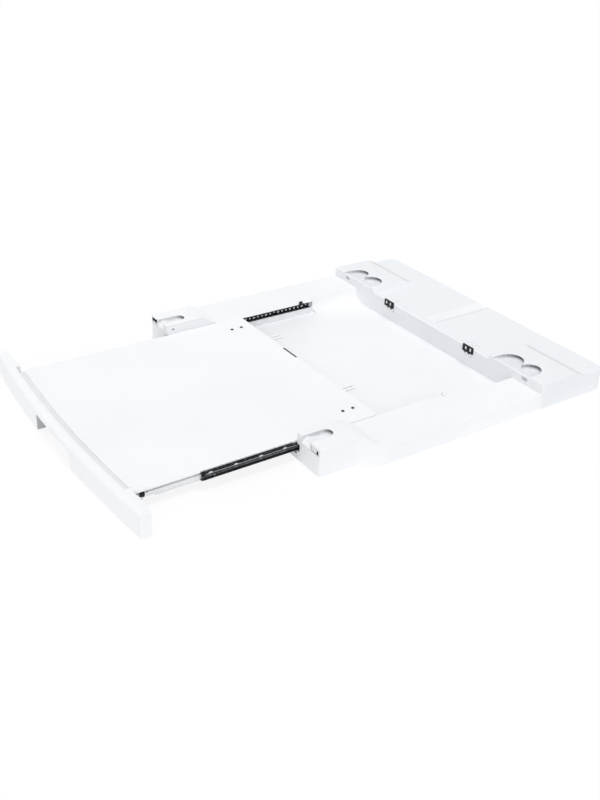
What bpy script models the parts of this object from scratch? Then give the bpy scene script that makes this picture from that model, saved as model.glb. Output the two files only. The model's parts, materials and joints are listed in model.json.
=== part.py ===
"""Stacking kit for a washer and a dryer, with a shelf that pulls out on ball-bearing slides.

X runs to the right, +Y to the back and +Z up, in metres. The sizes below are measured from
the front face of the front pads (Y = 0) and from the surface that the kit stands on (Z = 0).
An empty moves the whole kit so that the origin is under the middle of its bounding box.
"""
import math

import bmesh
import bpy

# Frame: the moulded tray
FRAME_WIDTH = 0.600
FRAME_DEPTH = 0.597
REAR_CORNER_RADIUS = 0.018
BLOCK_INSET = 0.0225
BLOCK_LENGTH = 0.060
FLARE_LENGTH = 0.060
BLOCK_CORNER_RADIUS = 0.003
FRAME_UNDERSIDE = 0.001
FLOOR_THICKNESS = 0.003
RAIL_TOP = 0.0305
PAD_TOP = 0.0485
PLATFORM_TOP = 0.0395
SKIN = 0.0035
RIM_ROUND = 0.001
POCKET_ROUND = 0.0007
FRONT_PAD_LENGTH = 0.078
FRONT_RAMP_LENGTH = 0.030
REAR_PAD_LENGTH = 0.083
REAR_RAMP_LENGTH = 0.024
REAR_PAD_WIDTH = 0.135
REAR_PAD_SLOPE = 0.006

# Bay: the sunk space that the shelf slides into
SIDE_RAIL_WIDTH = 0.084
BAY_REAR = 0.441
BAY_STEP = 0.002
COVE_TOP_RUN = 0.013
COVE_FOOT_RUN = 0.016
COVE_SEGMENTS = 5
COVE_SAG = 0.004

# Foot pockets
FRONT_POCKET_INSET = 0.013
FRONT_POCKET_WIDTH = 0.021
FRONT_POCKET_LENGTH = 0.048
POCKET_DEPTH = 0.009
POCKET_MOUTH_DEPTH = 0.003
MOUTH_RAMP_LENGTH = 0.016
LIP_LENGTH = 0.009
LIP_DROP = 0.009
REAR_POCKET_INNER_INSET = 0.1205
REAR_POCKET_CUSP_INSET = 0.073
REAR_POCKET_OUTER_INSET = 0.031
REAR_LOBE_CENTRE = 0.013
REAR_LOBE_LENGTH = 0.030
LOBE_OVERLAP = 0.001
REAR_MOUTH_LENGTH = 0.006

# Small features of the frame
GROOVE_LEFT = 0.028
GROOVE_DEPTH = 0.005
GROOVE_FOOT = 0.003
GROOVE_START = 0.017
CLIP_WINDOW_OUTER = 0.003
CLIP_WINDOW_WIDTH = 0.0225
CLIP_WINDOW_TOP = 0.003
CLIP_WINDOW_HEIGHT = 0.010
CLIP_WINDOW_DEPTH = 0.020
SOCKET_INSET = 0.043
SOCKET_WIDTH = 0.013
SOCKET_HEIGHT = 0.0065
SOCKET_DEPTH = 0.006
SOCKET_DROP = 0.005

# Underside of the frame
RIB = 0.003
PLATFORM_WEB = 0.030
BLOCK_CELL_COUNT = 2
RAIL_CELL_COUNT = 3
PLATFORM_CELL_COUNT = 4
PLATFORM_ROW_COUNT = 2
GRIP_LENGTH = 0.050
GRIP_WIDTH = 0.030
GRIP_SINK = 0.001
GRIP_CORNER = 0.005
GRIP_INSET_X = 0.035
GRIP_INSET_Y = 0.030

# Slides: each has two stages, a channel with a rail running in it on caged balls
SLIDE_LENGTH = 0.315
SLIDE_FRONT = 0.005
SLIDE_AXIS_Z = 0.0226
CHANNEL_HALF_HEIGHT = 0.0062
CHANNEL_FLANGE = 0.0064
CHANNEL_SHEET = 0.001
CHANNEL_LIP = 0.0006
RAIL_HALF_HEIGHT = 0.0031
RAIL_SHEET = 0.0008
STAGE_DEPTH = 0.0067
CAGE_SHEET = 0.0005
CAGE_FLANGE = 0.0008
CAGE_LENGTH = 0.110
CAGE_OFFSET = 0.015
BALL_RADIUS = 0.00075
BALLS_PER_ROW = 4
BALL_PITCH = 0.026
FIT_GAP = 0.0003
MIDDLE_SHARE = 0.62

# Travel
SHELF_TRAVEL = 0.276
CLOSED_GAP = 0.002

# Shelf
SHELF_EDGE_GAP = 0.0035
SHELF_REAR_GAP = 0.007
SHELF_TOP = 0.0325
SHELF_SHEET = 0.002
SHELF_CORE_INSET = 0.058
SHELF_SKIRT = 0.0025
SHELF_SKIRT_BOTTOM = 0.0135
SHELF_REAR_SKIRT_BOTTOM = 0.020
SHELF_RIM = 0.0015
SHELF_RIB = 0.002
SHELF_RIB_BOTTOM = 0.024
SHELF_CELLS_X = 4
SHELF_CELLS_Y = 5
SHELF_CORNER_RADIUS = 0.006
SHELF_ROUND = 0.0009
SHELF_FRONT_GAP = 0.014
SHELF_CORNER_SETBACK = 0.008
DIMPLE_LENGTH = 0.036
DIMPLE_WIDTH = 0.015
DIMPLE_DEPTH = 0.0008
DIMPLE_INSET = 0.040
SHELF_SCREW_PITCH = 0.020
SHELF_SCREW_INSET = 0.0325
SLOT_LEFT = 0.079
SLOT_LENGTH = 0.036
SLOT_WIDTH = 0.0016
SLOT_INSET = 0.001

# Side angles
ANGLE_SHEET = 0.0012
ANGLE_WIDTH = 0.0405
ANGLE_HEIGHT = 0.0165
ANGLE_FRONT_INSET = 0.012
ANGLE_REAR_INSET = 0.008

# Fascia
FASCIA_OVERHANG = 0.0005
FASCIA_BOTTOM = 0.0015
FASCIA_TOP = 0.0425
FASCIA_END_THICKNESS = 0.016
FASCIA_BOW = 0.015
FASCIA_WALL = 0.014
FASCIA_SEGMENTS = 24
FASCIA_ROUND = 0.009
FASCIA_CORNER_RADIUS = 0.003
FASCIA_BLOCK_WIDTH = 0.0655
FASCIA_RIM = 0.003
LEDGE_INSET = 0.020
LEDGE_REACH = 0.034
LEDGE_TOP = 0.013
LEDGE_THICKNESS = 0.003
NOTCH_HALF_WIDTH = 0.066
NOTCH_TOP = 0.030
NOTCH_RADIUS = 0.003
FASCIA_SCREW_INSET = 0.066
FASCIA_SCREW_INNER_X = 0.070
BOSS_RADIUS = 0.0045
BOSS_INSET = 0.018

# Catches and strikers
CATCH_INSET = 0.1026
CATCH_WIDTH = 0.024
CATCH_HEIGHT = 0.0155
CATCH_TOP_DROP = 0.001
CATCH_PLATE = 0.0015
CATCH_BODY_WIDTH = 0.019
CATCH_BODY_HEIGHT = 0.012
CATCH_BODY_DEPTH = 0.023
CATCH_WINDOW_WIDTH = 0.0055
CATCH_WINDOW_HEIGHT = 0.0085
CATCH_POST = 0.004
CATCH_WINDOW_DEPTH = 0.0215
STRIKER_WIDTH = 0.028
STRIKER_THICKNESS = 0.003
STRIKER_ROOT = 0.020
STRIKER_PRONG_LENGTH = 0.019
STRIKER_PRONG_WIDTH = 0.0040
STRIKER_CORNER = 0.004
CATCH_DISH_LENGTH = 0.026
CATCH_DISH_WIDTH = 0.012
CATCH_DISH_DEPTH = 0.0012
CATCH_DISH_CENTRE = 0.014

# Bumpers and edge clips
BUMPER_LENGTH = 0.016
BUMPER_NOSE = 0.003
BUMPER_NOSE_HALF_HEIGHT = 0.006
LUG_LENGTH = 0.006
LUG_HEIGHT = 0.0045
LUG_WIDTH = 0.0026
LUG_HOOK = 0.003
LUG_HOOK_HEIGHT = 0.0012
LUG_CORNER = 0.0008
LUG_INSET = 0.021

# Lock clips
CLIP_BASE = 0.0012
CLIP_SIDE = 0.005
CLIP_DEPTH = 0.0185
CLIP_RECESS = 0.0008

# Screws and rivets
SCREW_SHANK = 0.0012
SCREW_HEAD = 0.0028
SCREW_HEAD_HEIGHT = 0.0011
SMALL_HEAD = 0.0019
SMALL_HEAD_HEIGHT = 0.0009
CABINET_SCREW_LENGTH = 0.0035
CATCH_SCREW_LENGTH = 0.004
FASCIA_SCREW_LENGTH = 0.012
SHELF_SCREW_LENGTH = 0.0055
SCREW_SIDES = 12
HEAD_TOP_SHARE = 0.75
HEAD_EDGE_SHARE = 0.6
TIP_SHARE = 0.3
SCREW_END_INSET = 0.008
CABINET_SCREW_PLACE = 0.237

# Modelling helpers
OVERRUN = 0.010
ARC_SEGMENTS = 5
SMOOTH_ANGLE = math.radians(32)

# Places worked out from the sizes above
HALF_WIDTH = FRAME_WIDTH / 2
BLOCK_HALF_WIDTH = HALF_WIDTH - BLOCK_INSET
BAY_HALF_WIDTH = HALF_WIDTH - SIDE_RAIL_WIDTH
COVE_TOP_HALF_WIDTH = BAY_HALF_WIDTH + COVE_TOP_RUN
COVE_FOOT_HALF_WIDTH = BAY_HALF_WIDTH - COVE_FOOT_RUN
REAR_PAD_INNER = HALF_WIDTH - REAR_PAD_WIDTH
FRONT_POCKET_INNER = BAY_HALF_WIDTH + FRONT_POCKET_INSET
REAR_POCKET_INNER = HALF_WIDTH - REAR_POCKET_INNER_INSET
REAR_POCKET_CUSP = HALF_WIDTH - REAR_POCKET_CUSP_INSET
REAR_POCKET_OUTER = HALF_WIDTH - REAR_POCKET_OUTER_INSET
SOCKET_CENTRE = HALF_WIDTH - SOCKET_INSET
CATCH_X = BAY_HALF_WIDTH - CATCH_INSET
FASCIA_HALF_WIDTH = BLOCK_HALF_WIDTH + FASCIA_OVERHANG
FASCIA_BLOCK_INNER = FASCIA_HALF_WIDTH - FASCIA_BLOCK_WIDTH
LEDGE_HALF_WIDTH = BAY_HALF_WIDTH - LEDGE_INSET
FASCIA_SCREW_X = BAY_HALF_WIDTH - FASCIA_SCREW_INSET
FLOOR_TOP = FRAME_UNDERSIDE + FLOOR_THICKNESS
FASCIA_BACK_Y = -(SHELF_TRAVEL + CLOSED_GAP)
FASCIA_FRONT_Y = FASCIA_BACK_Y - FASCIA_END_THICKNESS - FASCIA_BOW
ORIGIN_Y = (FRAME_DEPTH + FASCIA_FRONT_Y) / 2
SHELF_HALF_WIDTH = BAY_HALF_WIDTH - SHELF_EDGE_GAP
SHELF_CORE_HALF_WIDTH = BAY_HALF_WIDTH - SHELF_CORE_INSET
DIMPLE_X = BAY_HALF_WIDTH - DIMPLE_INSET
SHELF_REAR = BAY_REAR - SHELF_REAR_GAP - SHELF_TRAVEL
SHEET_UNDERSIDE = SHELF_TOP - SHELF_SHEET
SLIDE_GROOVE_BACK = BAY_HALF_WIDTH + STAGE_DEPTH + FIT_GAP
STAGE_1_BACK = SLIDE_GROOVE_BACK - FIT_GAP
STAGE_2_BACK = STAGE_1_BACK - STAGE_DEPTH - FIT_GAP
ANGLE_FACE = STAGE_2_BACK - STAGE_DEPTH - FIT_GAP
SLIDE_REAR = SLIDE_FRONT + SLIDE_LENGTH
RAIL_FRONT = FASCIA_BACK_Y + SHELF_CORNER_SETBACK + BUMPER_NOSE + BUMPER_LENGTH
RAIL_REAR = RAIL_FRONT + SLIDE_LENGTH
MIDDLE_FRONT = RAIL_FRONT - BUMPER_LENGTH + SHELF_TRAVEL - MIDDLE_SHARE * SHELF_TRAVEL
MIDDLE_REAR = MIDDLE_FRONT + SLIDE_LENGTH
MIDDLE_CLOSED_REAR = MIDDLE_REAR + MIDDLE_SHARE * SHELF_TRAVEL
COVE_FRONT = MIDDLE_CLOSED_REAR + BAY_STEP
SIDES = (("left", -1), ("right", 1))

COLOURS = {
    "white_body": ((0.90, 0.91, 0.92), 0.42, 0.0),
    "white_gloss": ((0.91, 0.92, 0.93), 0.30, 0.0),
    "black_steel": ((0.035, 0.037, 0.042), 0.38, 0.6),
    "zinc_steel": ((0.60, 0.62, 0.64), 0.32, 1.0),
    "black_plastic": ((0.025, 0.025, 0.027), 0.50, 0.0),
    "rubber": ((0.05, 0.05, 0.05), 0.85, 0.0),
}


def clear_scene():
    for item in list(bpy.data.objects):
        bpy.data.objects.remove(item, do_unlink=True)


def make_material(name):
    """One Principled material for one sub-part, in the finish that its slot is named after."""
    def build(slot):
        colour, roughness, metallic = COLOURS[slot]
        material = bpy.data.materials.new(name + "_" + slot)
        material.use_nodes = True
        shader = material.node_tree.nodes["Principled BSDF"]
        shader.inputs["Base Color"].default_value = (*colour, 1)
        shader.inputs["Roughness"].default_value = roughness
        shader.inputs["Metallic"].default_value = metallic
        return material
    return build


def to_world(axis, first, second, along):
    """A point of a section: first and second lie in the section, along is on the axis."""
    if axis == "X":
        return (along, first, second)
    if axis == "Y":
        return (first, along, second)
    return (first, second, along)


def add_prism(mesh, points, axis, low, high):
    """Extrude a closed section along an axis: (y, z) on X, (x, z) on Y and (x, y) on Z."""
    ring = [mesh.verts.new(to_world(axis, a, b, low)) for a, b in points]
    face = mesh.faces.new(ring)
    grown = bmesh.ops.extrude_face_region(mesh, geom=[face])
    shift = to_world(axis, 0, 0, high - low)
    moved = [item for item in grown["geom"] if isinstance(item, bmesh.types.BMVert)]
    bmesh.ops.translate(mesh, verts=moved, vec=shift)
    bmesh.ops.recalc_face_normals(mesh, faces=mesh.faces)


def box_points(low_a, high_a, low_b, high_b):
    return [(low_a, low_b), (high_a, low_b), (high_a, high_b), (low_a, high_b)]


def add_box(mesh, x, y, z):
    """A box between the pairs of limits x, y and z."""
    add_prism(mesh, box_points(x[0], x[1], y[0], y[1]), "Z", z[0], z[1])


def arc(centre, radius, start, stop, segments=ARC_SEGMENTS):
    """Points of an arc, both ends included, with angles in degrees."""
    points = []
    for step in range(segments + 1):
        angle = math.radians(start + (stop - start) * step / segments)
        points.append((centre[0] + radius * math.cos(angle), centre[1] + radius * math.sin(angle)))
    return points


def rounded_box(low_a, high_a, low_b, high_b, radius):
    """Outline of a rectangle with four rounded corners."""
    points = arc((high_a - radius, low_b + radius), radius, -90, 0)
    points += arc((high_a - radius, high_b - radius), radius, 0, 90)
    points += arc((low_a + radius, high_b - radius), radius, 90, 180)
    points += arc((low_a + radius, low_b + radius), radius, 180, 270)
    return points


def mirrored(points):
    """The other half of an outline that is symmetric about X = 0."""
    return [(-a, b) for a, b in reversed(points)]


def finish_object(name, mesh, slot, parent):
    """Turn a bmesh into the named sub-part with its own material."""
    bmesh.ops.remove_doubles(mesh, verts=mesh.verts, dist=FIT_GAP / 100)
    data = bpy.data.meshes.new(name)
    mesh.to_mesh(data)
    mesh.free()
    part = bpy.data.objects.new(name, data)
    bpy.context.scene.collection.objects.link(part)
    part.parent = parent
    data.materials.append(make_material(name)(slot))
    return part


def boolean(part, tool_mesh, operation="DIFFERENCE"):
    """Cut a part with a temporary tool, keep the result and remove the tool."""
    data = bpy.data.meshes.new("tool")
    tool_mesh.to_mesh(data)
    tool_mesh.free()
    tool = bpy.data.objects.new("tool", data)
    bpy.context.scene.collection.objects.link(tool)
    tool.parent = part.parent
    modifier = part.modifiers.new("cut", "BOOLEAN")
    modifier.operation = operation
    modifier.solver = "EXACT"
    modifier.object = tool
    graph = bpy.context.evaluated_depsgraph_get()
    result = bpy.data.meshes.new_from_object(part.evaluated_get(graph))
    part.modifiers.clear()
    old = part.data
    part.data = result
    result.name = part.name
    bpy.data.meshes.remove(old)
    bpy.data.objects.remove(tool, do_unlink=True)


def round_edges(part, width, segments, wanted):
    """Round the sharp outer edges for which wanted(edge) is true."""
    mesh = bmesh.new()
    mesh.from_mesh(part.data)
    bmesh.ops.dissolve_limit(mesh, angle_limit=math.radians(0.5), verts=mesh.verts, edges=mesh.edges)
    sharp = []
    for edge in mesh.edges:
        if edge.is_convex and edge.calc_face_angle(0) > SMOOTH_ANGLE and wanted(edge):
            sharp.append(edge)
    bmesh.ops.bevel(mesh, geom=sharp, offset=width, offset_type="OFFSET", segments=segments,
                    profile=0.5, affect="EDGES", clamp_overlap=False, material=-1)
    bmesh.ops.remove_doubles(mesh, verts=mesh.verts, dist=FIT_GAP / 100)
    bmesh.ops.triangulate(mesh, faces=mesh.faces)
    mesh.to_mesh(part.data)
    mesh.free()


def shade_round(part):
    part.data.shade_smooth()
    part.data.set_sharp_from_angle(angle=SMOOTH_ANGLE)


def edge_heights(edge):
    return [vert.co.z for vert in edge.verts]


# Frame

def frame_half_outline():
    """Right half of the frame in plan, from the front middle to the rear middle."""
    points = arc((BLOCK_HALF_WIDTH - BLOCK_CORNER_RADIUS, BLOCK_CORNER_RADIUS),
                 BLOCK_CORNER_RADIUS, -90, 0, 3)
    steps = 2 * ARC_SEGMENTS
    for step in range(steps + 1):
        share = step / steps
        swell = (1 - math.cos(math.pi * share)) / 2
        points.append((BLOCK_HALF_WIDTH + BLOCK_INSET * swell, BLOCK_LENGTH + FLARE_LENGTH * share))
    points += arc((HALF_WIDTH - REAR_CORNER_RADIUS, FRAME_DEPTH - REAR_CORNER_RADIUS),
                  REAR_CORNER_RADIUS, 0, 90)
    return points


def cut_rear_half(frame):
    """Bay and rails in front of the rear pads: the walls of the bay are hollow curves here."""
    profile = []
    rise = RAIL_TOP - FLOOR_TOP
    run = COVE_TOP_HALF_WIDTH - COVE_FOOT_HALF_WIDTH
    for step in range(COVE_SEGMENTS + 1):
        share = step / COVE_SEGMENTS
        sag = COVE_SAG * math.sin(math.pi * share)
        profile.append((COVE_FOOT_HALF_WIDTH + run * share + sag, FLOOR_TOP + rise * share - sag))
    profile += [(HALF_WIDTH + OVERRUN, RAIL_TOP), (HALF_WIDTH + OVERRUN, PAD_TOP + OVERRUN)]
    tool = bmesh.new()
    add_prism(tool, profile + mirrored(profile), "Y", COVE_FRONT, BAY_REAR)
    boolean(frame, tool)


def cut_front_half(frame):
    """Rails behind the front pads with their ramps, and the bay's plain walls for the slides."""
    past = COVE_FRONT + OVERRUN / 2
    over_share = (PAD_TOP + OVERRUN - RAIL_TOP) / (PAD_TOP - RAIL_TOP)
    ramp_foot = FRONT_PAD_LENGTH + FRONT_RAMP_LENGTH
    rails = [
        (ramp_foot - FRONT_RAMP_LENGTH * over_share, PAD_TOP + OVERRUN),
        (ramp_foot, RAIL_TOP),
        (past, RAIL_TOP),
        (past, PAD_TOP + OVERRUN),
    ]
    tool = bmesh.new()
    for side in (-1, 1):
        ends = sorted((side * (BAY_HALF_WIDTH - RIB), side * (HALF_WIDTH + OVERRUN)))
        add_prism(tool, rails, "X", ends[0], ends[1])
    boolean(frame, tool)
    tool = bmesh.new()
    add_box(tool, (-BAY_HALF_WIDTH, BAY_HALF_WIDTH), (-OVERRUN, past - OVERRUN / 4),
            (FLOOR_TOP, PAD_TOP + OVERRUN))
    boolean(frame, tool)


def cut_slide_grooves(frame):
    """Grooves in the bay's side walls that take the cabinet channels, under the rails' edges."""
    half = CHANNEL_HALF_HEIGHT + FIT_GAP
    tool = bmesh.new()
    for side in (-1, 1):
        add_box(tool, sorted((side * (BAY_HALF_WIDTH - SHELF_EDGE_GAP), side * SLIDE_GROOVE_BACK)),
                (-OVERRUN, MIDDLE_CLOSED_REAR + FIT_GAP), (SLIDE_AXIS_Z - half, SLIDE_AXIS_Z + half))
    boolean(frame, tool)


def cut_platform(frame):
    """Platform behind the bay, between the rear pads and behind their ramps."""
    rear_pad_end = BAY_REAR + REAR_PAD_LENGTH
    over_share = (PAD_TOP + OVERRUN - PLATFORM_TOP) / (PAD_TOP - PLATFORM_TOP)
    rear = [
        (rear_pad_end + REAR_RAMP_LENGTH * (1 - over_share), PAD_TOP + OVERRUN),
        (rear_pad_end + REAR_RAMP_LENGTH, PLATFORM_TOP),
        (FRAME_DEPTH + OVERRUN, PLATFORM_TOP),
        (FRAME_DEPTH + OVERRUN, PAD_TOP + OVERRUN),
    ]
    tool = bmesh.new()
    add_prism(tool, rear, "X", -HALF_WIDTH - OVERRUN, HALF_WIDTH + OVERRUN)
    boolean(frame, tool)
    tool = bmesh.new()
    flank = REAR_PAD_INNER + REAR_PAD_SLOPE * over_share
    between = [
        (-REAR_PAD_INNER, PLATFORM_TOP),
        (REAR_PAD_INNER, PLATFORM_TOP),
        (flank, PAD_TOP + OVERRUN),
        (-flank, PAD_TOP + OVERRUN),
    ]
    add_prism(tool, between, "Y", BAY_REAR - OVERRUN, FRAME_DEPTH + 2 * OVERRUN)
    boolean(frame, tool)


def cut_front_pockets(frame):
    """Slots that the front feet of the upper machine slide into, open at the front."""
    seat = PAD_TOP - POCKET_DEPTH
    mouth = PAD_TOP - POCKET_MOUTH_DEPTH
    profile = [
        (-OVERRUN, mouth - LIP_DROP * (OVERRUN + LIP_LENGTH) / LIP_LENGTH),
        (LIP_LENGTH, mouth),
        (LIP_LENGTH + MOUTH_RAMP_LENGTH, seat),
        (FRONT_POCKET_LENGTH + OVERRUN, seat),
        (FRONT_POCKET_LENGTH + OVERRUN, PAD_TOP + OVERRUN),
        (-OVERRUN, PAD_TOP + OVERRUN),
    ]
    radius = FRONT_POCKET_WIDTH / 2
    for side in (-1, 1):
        centre = side * (FRONT_POCKET_INNER + radius)
        end = arc((centre, FRONT_POCKET_LENGTH - radius), radius, 0, 180, 2 * ARC_SEGMENTS)
        plan = [(centre + radius, -OVERRUN)] + end + [(centre - radius, -OVERRUN)]
        boolean(frame, pocket_tool(plan, profile))


def pocket_tool(plan, profile):
    """A cutter with this outline in plan and this floor along Y."""
    low_x = min(x for x, y in plan) - OVERRUN
    high_x = max(x for x, y in plan) + OVERRUN
    mesh = bmesh.new()
    add_prism(mesh, plan, "Z", 0, PAD_TOP + OVERRUN / 2)
    block = finish_object("pocket", mesh, "white_body", None)
    floor = bmesh.new()
    add_prism(floor, profile, "X", low_x, high_x)
    boolean(block, floor, "INTERSECT")
    result = bmesh.new()
    result.from_mesh(block.data)
    bpy.data.objects.remove(block, do_unlink=True)
    return result


def lobe(inner, outer, low_share, high_share):
    """Rear half of an oval lobe between two X limits, from one share of its width to another."""
    centre = (inner + outer) / 2
    radius = (outer - inner) / 2
    middle_y = BAY_REAR + REAR_LOBE_CENTRE
    points = []
    steps = 2 * ARC_SEGMENTS
    start = math.acos(2 * high_share - 1)
    stop = math.acos(2 * low_share - 1)
    for step in range(steps + 1):
        angle = start + (stop - start) * step / steps
        points.append((centre + radius * math.cos(angle), middle_y + REAR_LOBE_LENGTH * math.sin(angle)))
    return points


def cut_rear_pockets(frame):
    """Two-lobed seats for the rear feet, so that machines of two widths fit."""
    seat = PAD_TOP - POCKET_DEPTH
    mouth = PAD_TOP - POCKET_MOUTH_DEPTH
    rear = BAY_REAR + REAR_PAD_LENGTH
    profile = [
        (BAY_REAR - OVERRUN, mouth),
        (BAY_REAR + REAR_MOUTH_LENGTH, mouth),
        (BAY_REAR + REAR_MOUTH_LENGTH + MOUTH_RAMP_LENGTH, seat),
        (rear, seat),
        (rear, PAD_TOP + OVERRUN),
        (BAY_REAR - OVERRUN, PAD_TOP + OVERRUN),
    ]
    trim = LOBE_OVERLAP / (REAR_POCKET_OUTER - REAR_POCKET_CUSP)
    outer = lobe(REAR_POCKET_CUSP - LOBE_OVERLAP, REAR_POCKET_OUTER, trim, 1)
    inner = lobe(REAR_POCKET_INNER, REAR_POCKET_CUSP + LOBE_OVERLAP, 0, 1 - trim)
    plan = [(REAR_POCKET_OUTER, BAY_REAR - OVERRUN)] + outer + inner
    plan.append((REAR_POCKET_INNER, BAY_REAR - OVERRUN))
    boolean(frame, pocket_tool(plan, profile))
    boolean(frame, pocket_tool(mirrored(plan), profile))


def cut_groove(frame):
    """Shallow channel from the bay's rear wall to the back edge, sloping down to its right side."""
    tool = bmesh.new()
    rise = PLATFORM_TOP + OVERRUN
    left_run = (GROOVE_LEFT - GROOVE_FOOT) * (1 + OVERRUN / GROOVE_DEPTH)
    right_run = GROOVE_FOOT * (1 + OVERRUN / GROOVE_DEPTH) / 2
    section = [
        (-GROOVE_FOOT - left_run, rise),
        (-GROOVE_FOOT, PLATFORM_TOP - GROOVE_DEPTH),
        (0, PLATFORM_TOP - GROOVE_DEPTH),
        (right_run, rise),
    ]
    add_prism(tool, section, "Y", BAY_REAR + GROOVE_START, FRAME_DEPTH + OVERRUN)
    boolean(frame, tool)


def cut_front_windows(frame):
    """Windows for the lock clips in the front pads, and sockets in the rear pads' front faces."""
    tool = bmesh.new()
    top = PAD_TOP - CLIP_WINDOW_TOP
    socket_top = PAD_TOP - SOCKET_DROP
    for side in (-1, 1):
        outer = side * (BLOCK_HALF_WIDTH - CLIP_WINDOW_OUTER)
        inner = outer - side * CLIP_WINDOW_WIDTH
        add_box(tool, sorted((outer, inner)), (-OVERRUN, CLIP_WINDOW_DEPTH),
                (top - CLIP_WINDOW_HEIGHT, top))
        centre = side * SOCKET_CENTRE
        add_box(tool, (centre - SOCKET_WIDTH / 2, centre + SOCKET_WIDTH / 2),
                (BAY_REAR - OVERRUN, BAY_REAR + SOCKET_DEPTH),
                (socket_top - SOCKET_HEIGHT, socket_top))
    boolean(frame, tool)


def cell_row(low, high, count, gap):
    """Limits of equal cells between low and high with a wall between each two."""
    width = (high - low - gap * (count - 1)) / count
    return [(low + (width + gap) * i, low + (width + gap) * i + width) for i in range(count)]


def cut_underside(frame):
    """Hollow the rails and the platform from below and leave ribs between the cells."""
    tool = bmesh.new()
    low = FRAME_UNDERSIDE - OVERRUN
    rail_roof = RAIL_TOP - SKIN
    platform_roof = PLATFORM_TOP - GROOVE_DEPTH - SKIN
    block_cells = cell_row(SKIN, BLOCK_LENGTH + FLARE_LENGTH - RIB, BLOCK_CELL_COUNT, RIB)
    front_cells = cell_row(BLOCK_LENGTH + FLARE_LENGTH, SLIDE_REAR, RAIL_CELL_COUNT, RIB)
    rear_cell = (SLIDE_REAR + RIB, BAY_REAR - SKIN)
    platform_front = BAY_REAR + PLATFORM_WEB
    platform_rear = FRAME_DEPTH - SKIN
    for side in (-1, 1):
        inner = side * (SLIDE_GROOVE_BACK + CABINET_SCREW_LENGTH + SKIN)
        block = side * (BLOCK_HALF_WIDTH - SKIN)
        outer = side * (HALF_WIDTH - SKIN)
        cove = side * (COVE_TOP_HALF_WIDTH + SKIN)
        for cell in block_cells:
            add_box(tool, sorted((inner, block)), cell, (low, rail_roof))
        for cell in front_cells:
            add_box(tool, sorted((inner, outer)), cell, (low, rail_roof))
        add_box(tool, sorted((cove, outer)), rear_cell, (low, rail_roof))
        corner = side * (HALF_WIDTH - REAR_CORNER_RADIUS)
        for cell in cell_row(RIB, HALF_WIDTH - REAR_CORNER_RADIUS, PLATFORM_CELL_COUNT, RIB):
            for row in cell_row(platform_front, platform_rear, PLATFORM_ROW_COUNT, RIB):
                add_box(tool, sorted((side * cell[0], side * cell[1])), row, (low, platform_roof))
        add_box(tool, sorted((corner + side * RIB, outer)),
                (platform_front, FRAME_DEPTH - REAR_CORNER_RADIUS), (low, platform_roof))
    boolean(frame, tool)


def grip_places():
    """Corner, side and end of each rubber pad under the floor of the bay."""
    side_x = BAY_HALF_WIDTH - GRIP_INSET_X
    return [
        ("front_left", -side_x, GRIP_INSET_Y),
        ("front_right", side_x, GRIP_INSET_Y),
        ("rear_left", -side_x, BAY_REAR - GRIP_INSET_Y),
        ("rear_right", side_x, BAY_REAR - GRIP_INSET_Y),
    ]


def grip_outline(x, y, margin):
    length = GRIP_LENGTH / 2 + margin
    width = GRIP_WIDTH / 2 + margin
    return rounded_box(x - length, x + length, y - width, y + width, GRIP_CORNER + margin)


def cut_small_holes(frame):
    """Seats of the rubber pads, catches and screws."""
    tool = bmesh.new()
    for corner, x, y in grip_places():
        add_prism(tool, grip_outline(x, y, FIT_GAP), "Z", FRAME_UNDERSIDE - OVERRUN,
                  FRAME_UNDERSIDE + GRIP_SINK)
    boolean(frame, tool)
    tool = bmesh.new()
    body_z = catch_middle_z()
    for side in (-1, 1):
        x = side * CATCH_X
        half = CATCH_BODY_WIDTH / 2 + FIT_GAP
        add_box(tool, (x - half, x + half), (BAY_REAR - OVERRUN, BAY_REAR + CATCH_BODY_DEPTH + FIT_GAP),
                (body_z - CATCH_BODY_HEIGHT / 2 - FIT_GAP, body_z + CATCH_BODY_HEIGHT / 2 + FIT_GAP))
    boolean(frame, tool)
    tool = bmesh.new()
    for side in (-1, 1):
        x = side * CATCH_X
        y = BAY_REAR + CATCH_DISH_CENTRE
        dish = rounded_box(x - CATCH_DISH_LENGTH / 2, x + CATCH_DISH_LENGTH / 2,
                           y - CATCH_DISH_WIDTH / 2, y + CATCH_DISH_WIDTH / 2, CATCH_DISH_WIDTH / 3)
        add_prism(tool, dish, "Z", PLATFORM_TOP - CATCH_DISH_DEPTH, PLATFORM_TOP + OVERRUN)
    boolean(frame, tool)
    tool = bmesh.new()
    for side in (-1, 1):
        hole = circle(side * CATCH_X, BAY_REAR + CATCH_DISH_CENTRE, SCREW_SHANK + FIT_GAP)
        add_prism(tool, hole, "Z", body_z, PLATFORM_TOP + OVERRUN)
        for y in cabinet_screw_places():
            hole = circle(y, SLIDE_AXIS_Z, SCREW_SHANK + FIT_GAP)
            ends = sorted((side * (BAY_HALF_WIDTH - OVERRUN),
                           side * (SLIDE_GROOVE_BACK + CABINET_SCREW_LENGTH)))
            add_prism(tool, hole, "X", ends[0], ends[1])
    boolean(frame, tool)


def circle(a, b, radius, sides=SCREW_SIDES):
    points = []
    for step in range(sides):
        angle = 2 * math.pi * step / sides
        points.append((a + radius * math.cos(angle), b + radius * math.sin(angle)))
    return points


def is_rim(edge):
    """Edges of the frame that show from above: all but those on the underside."""
    return min(edge_heights(edge)) > FLOOR_TOP + FLOOR_THICKNESS / 2


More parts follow.
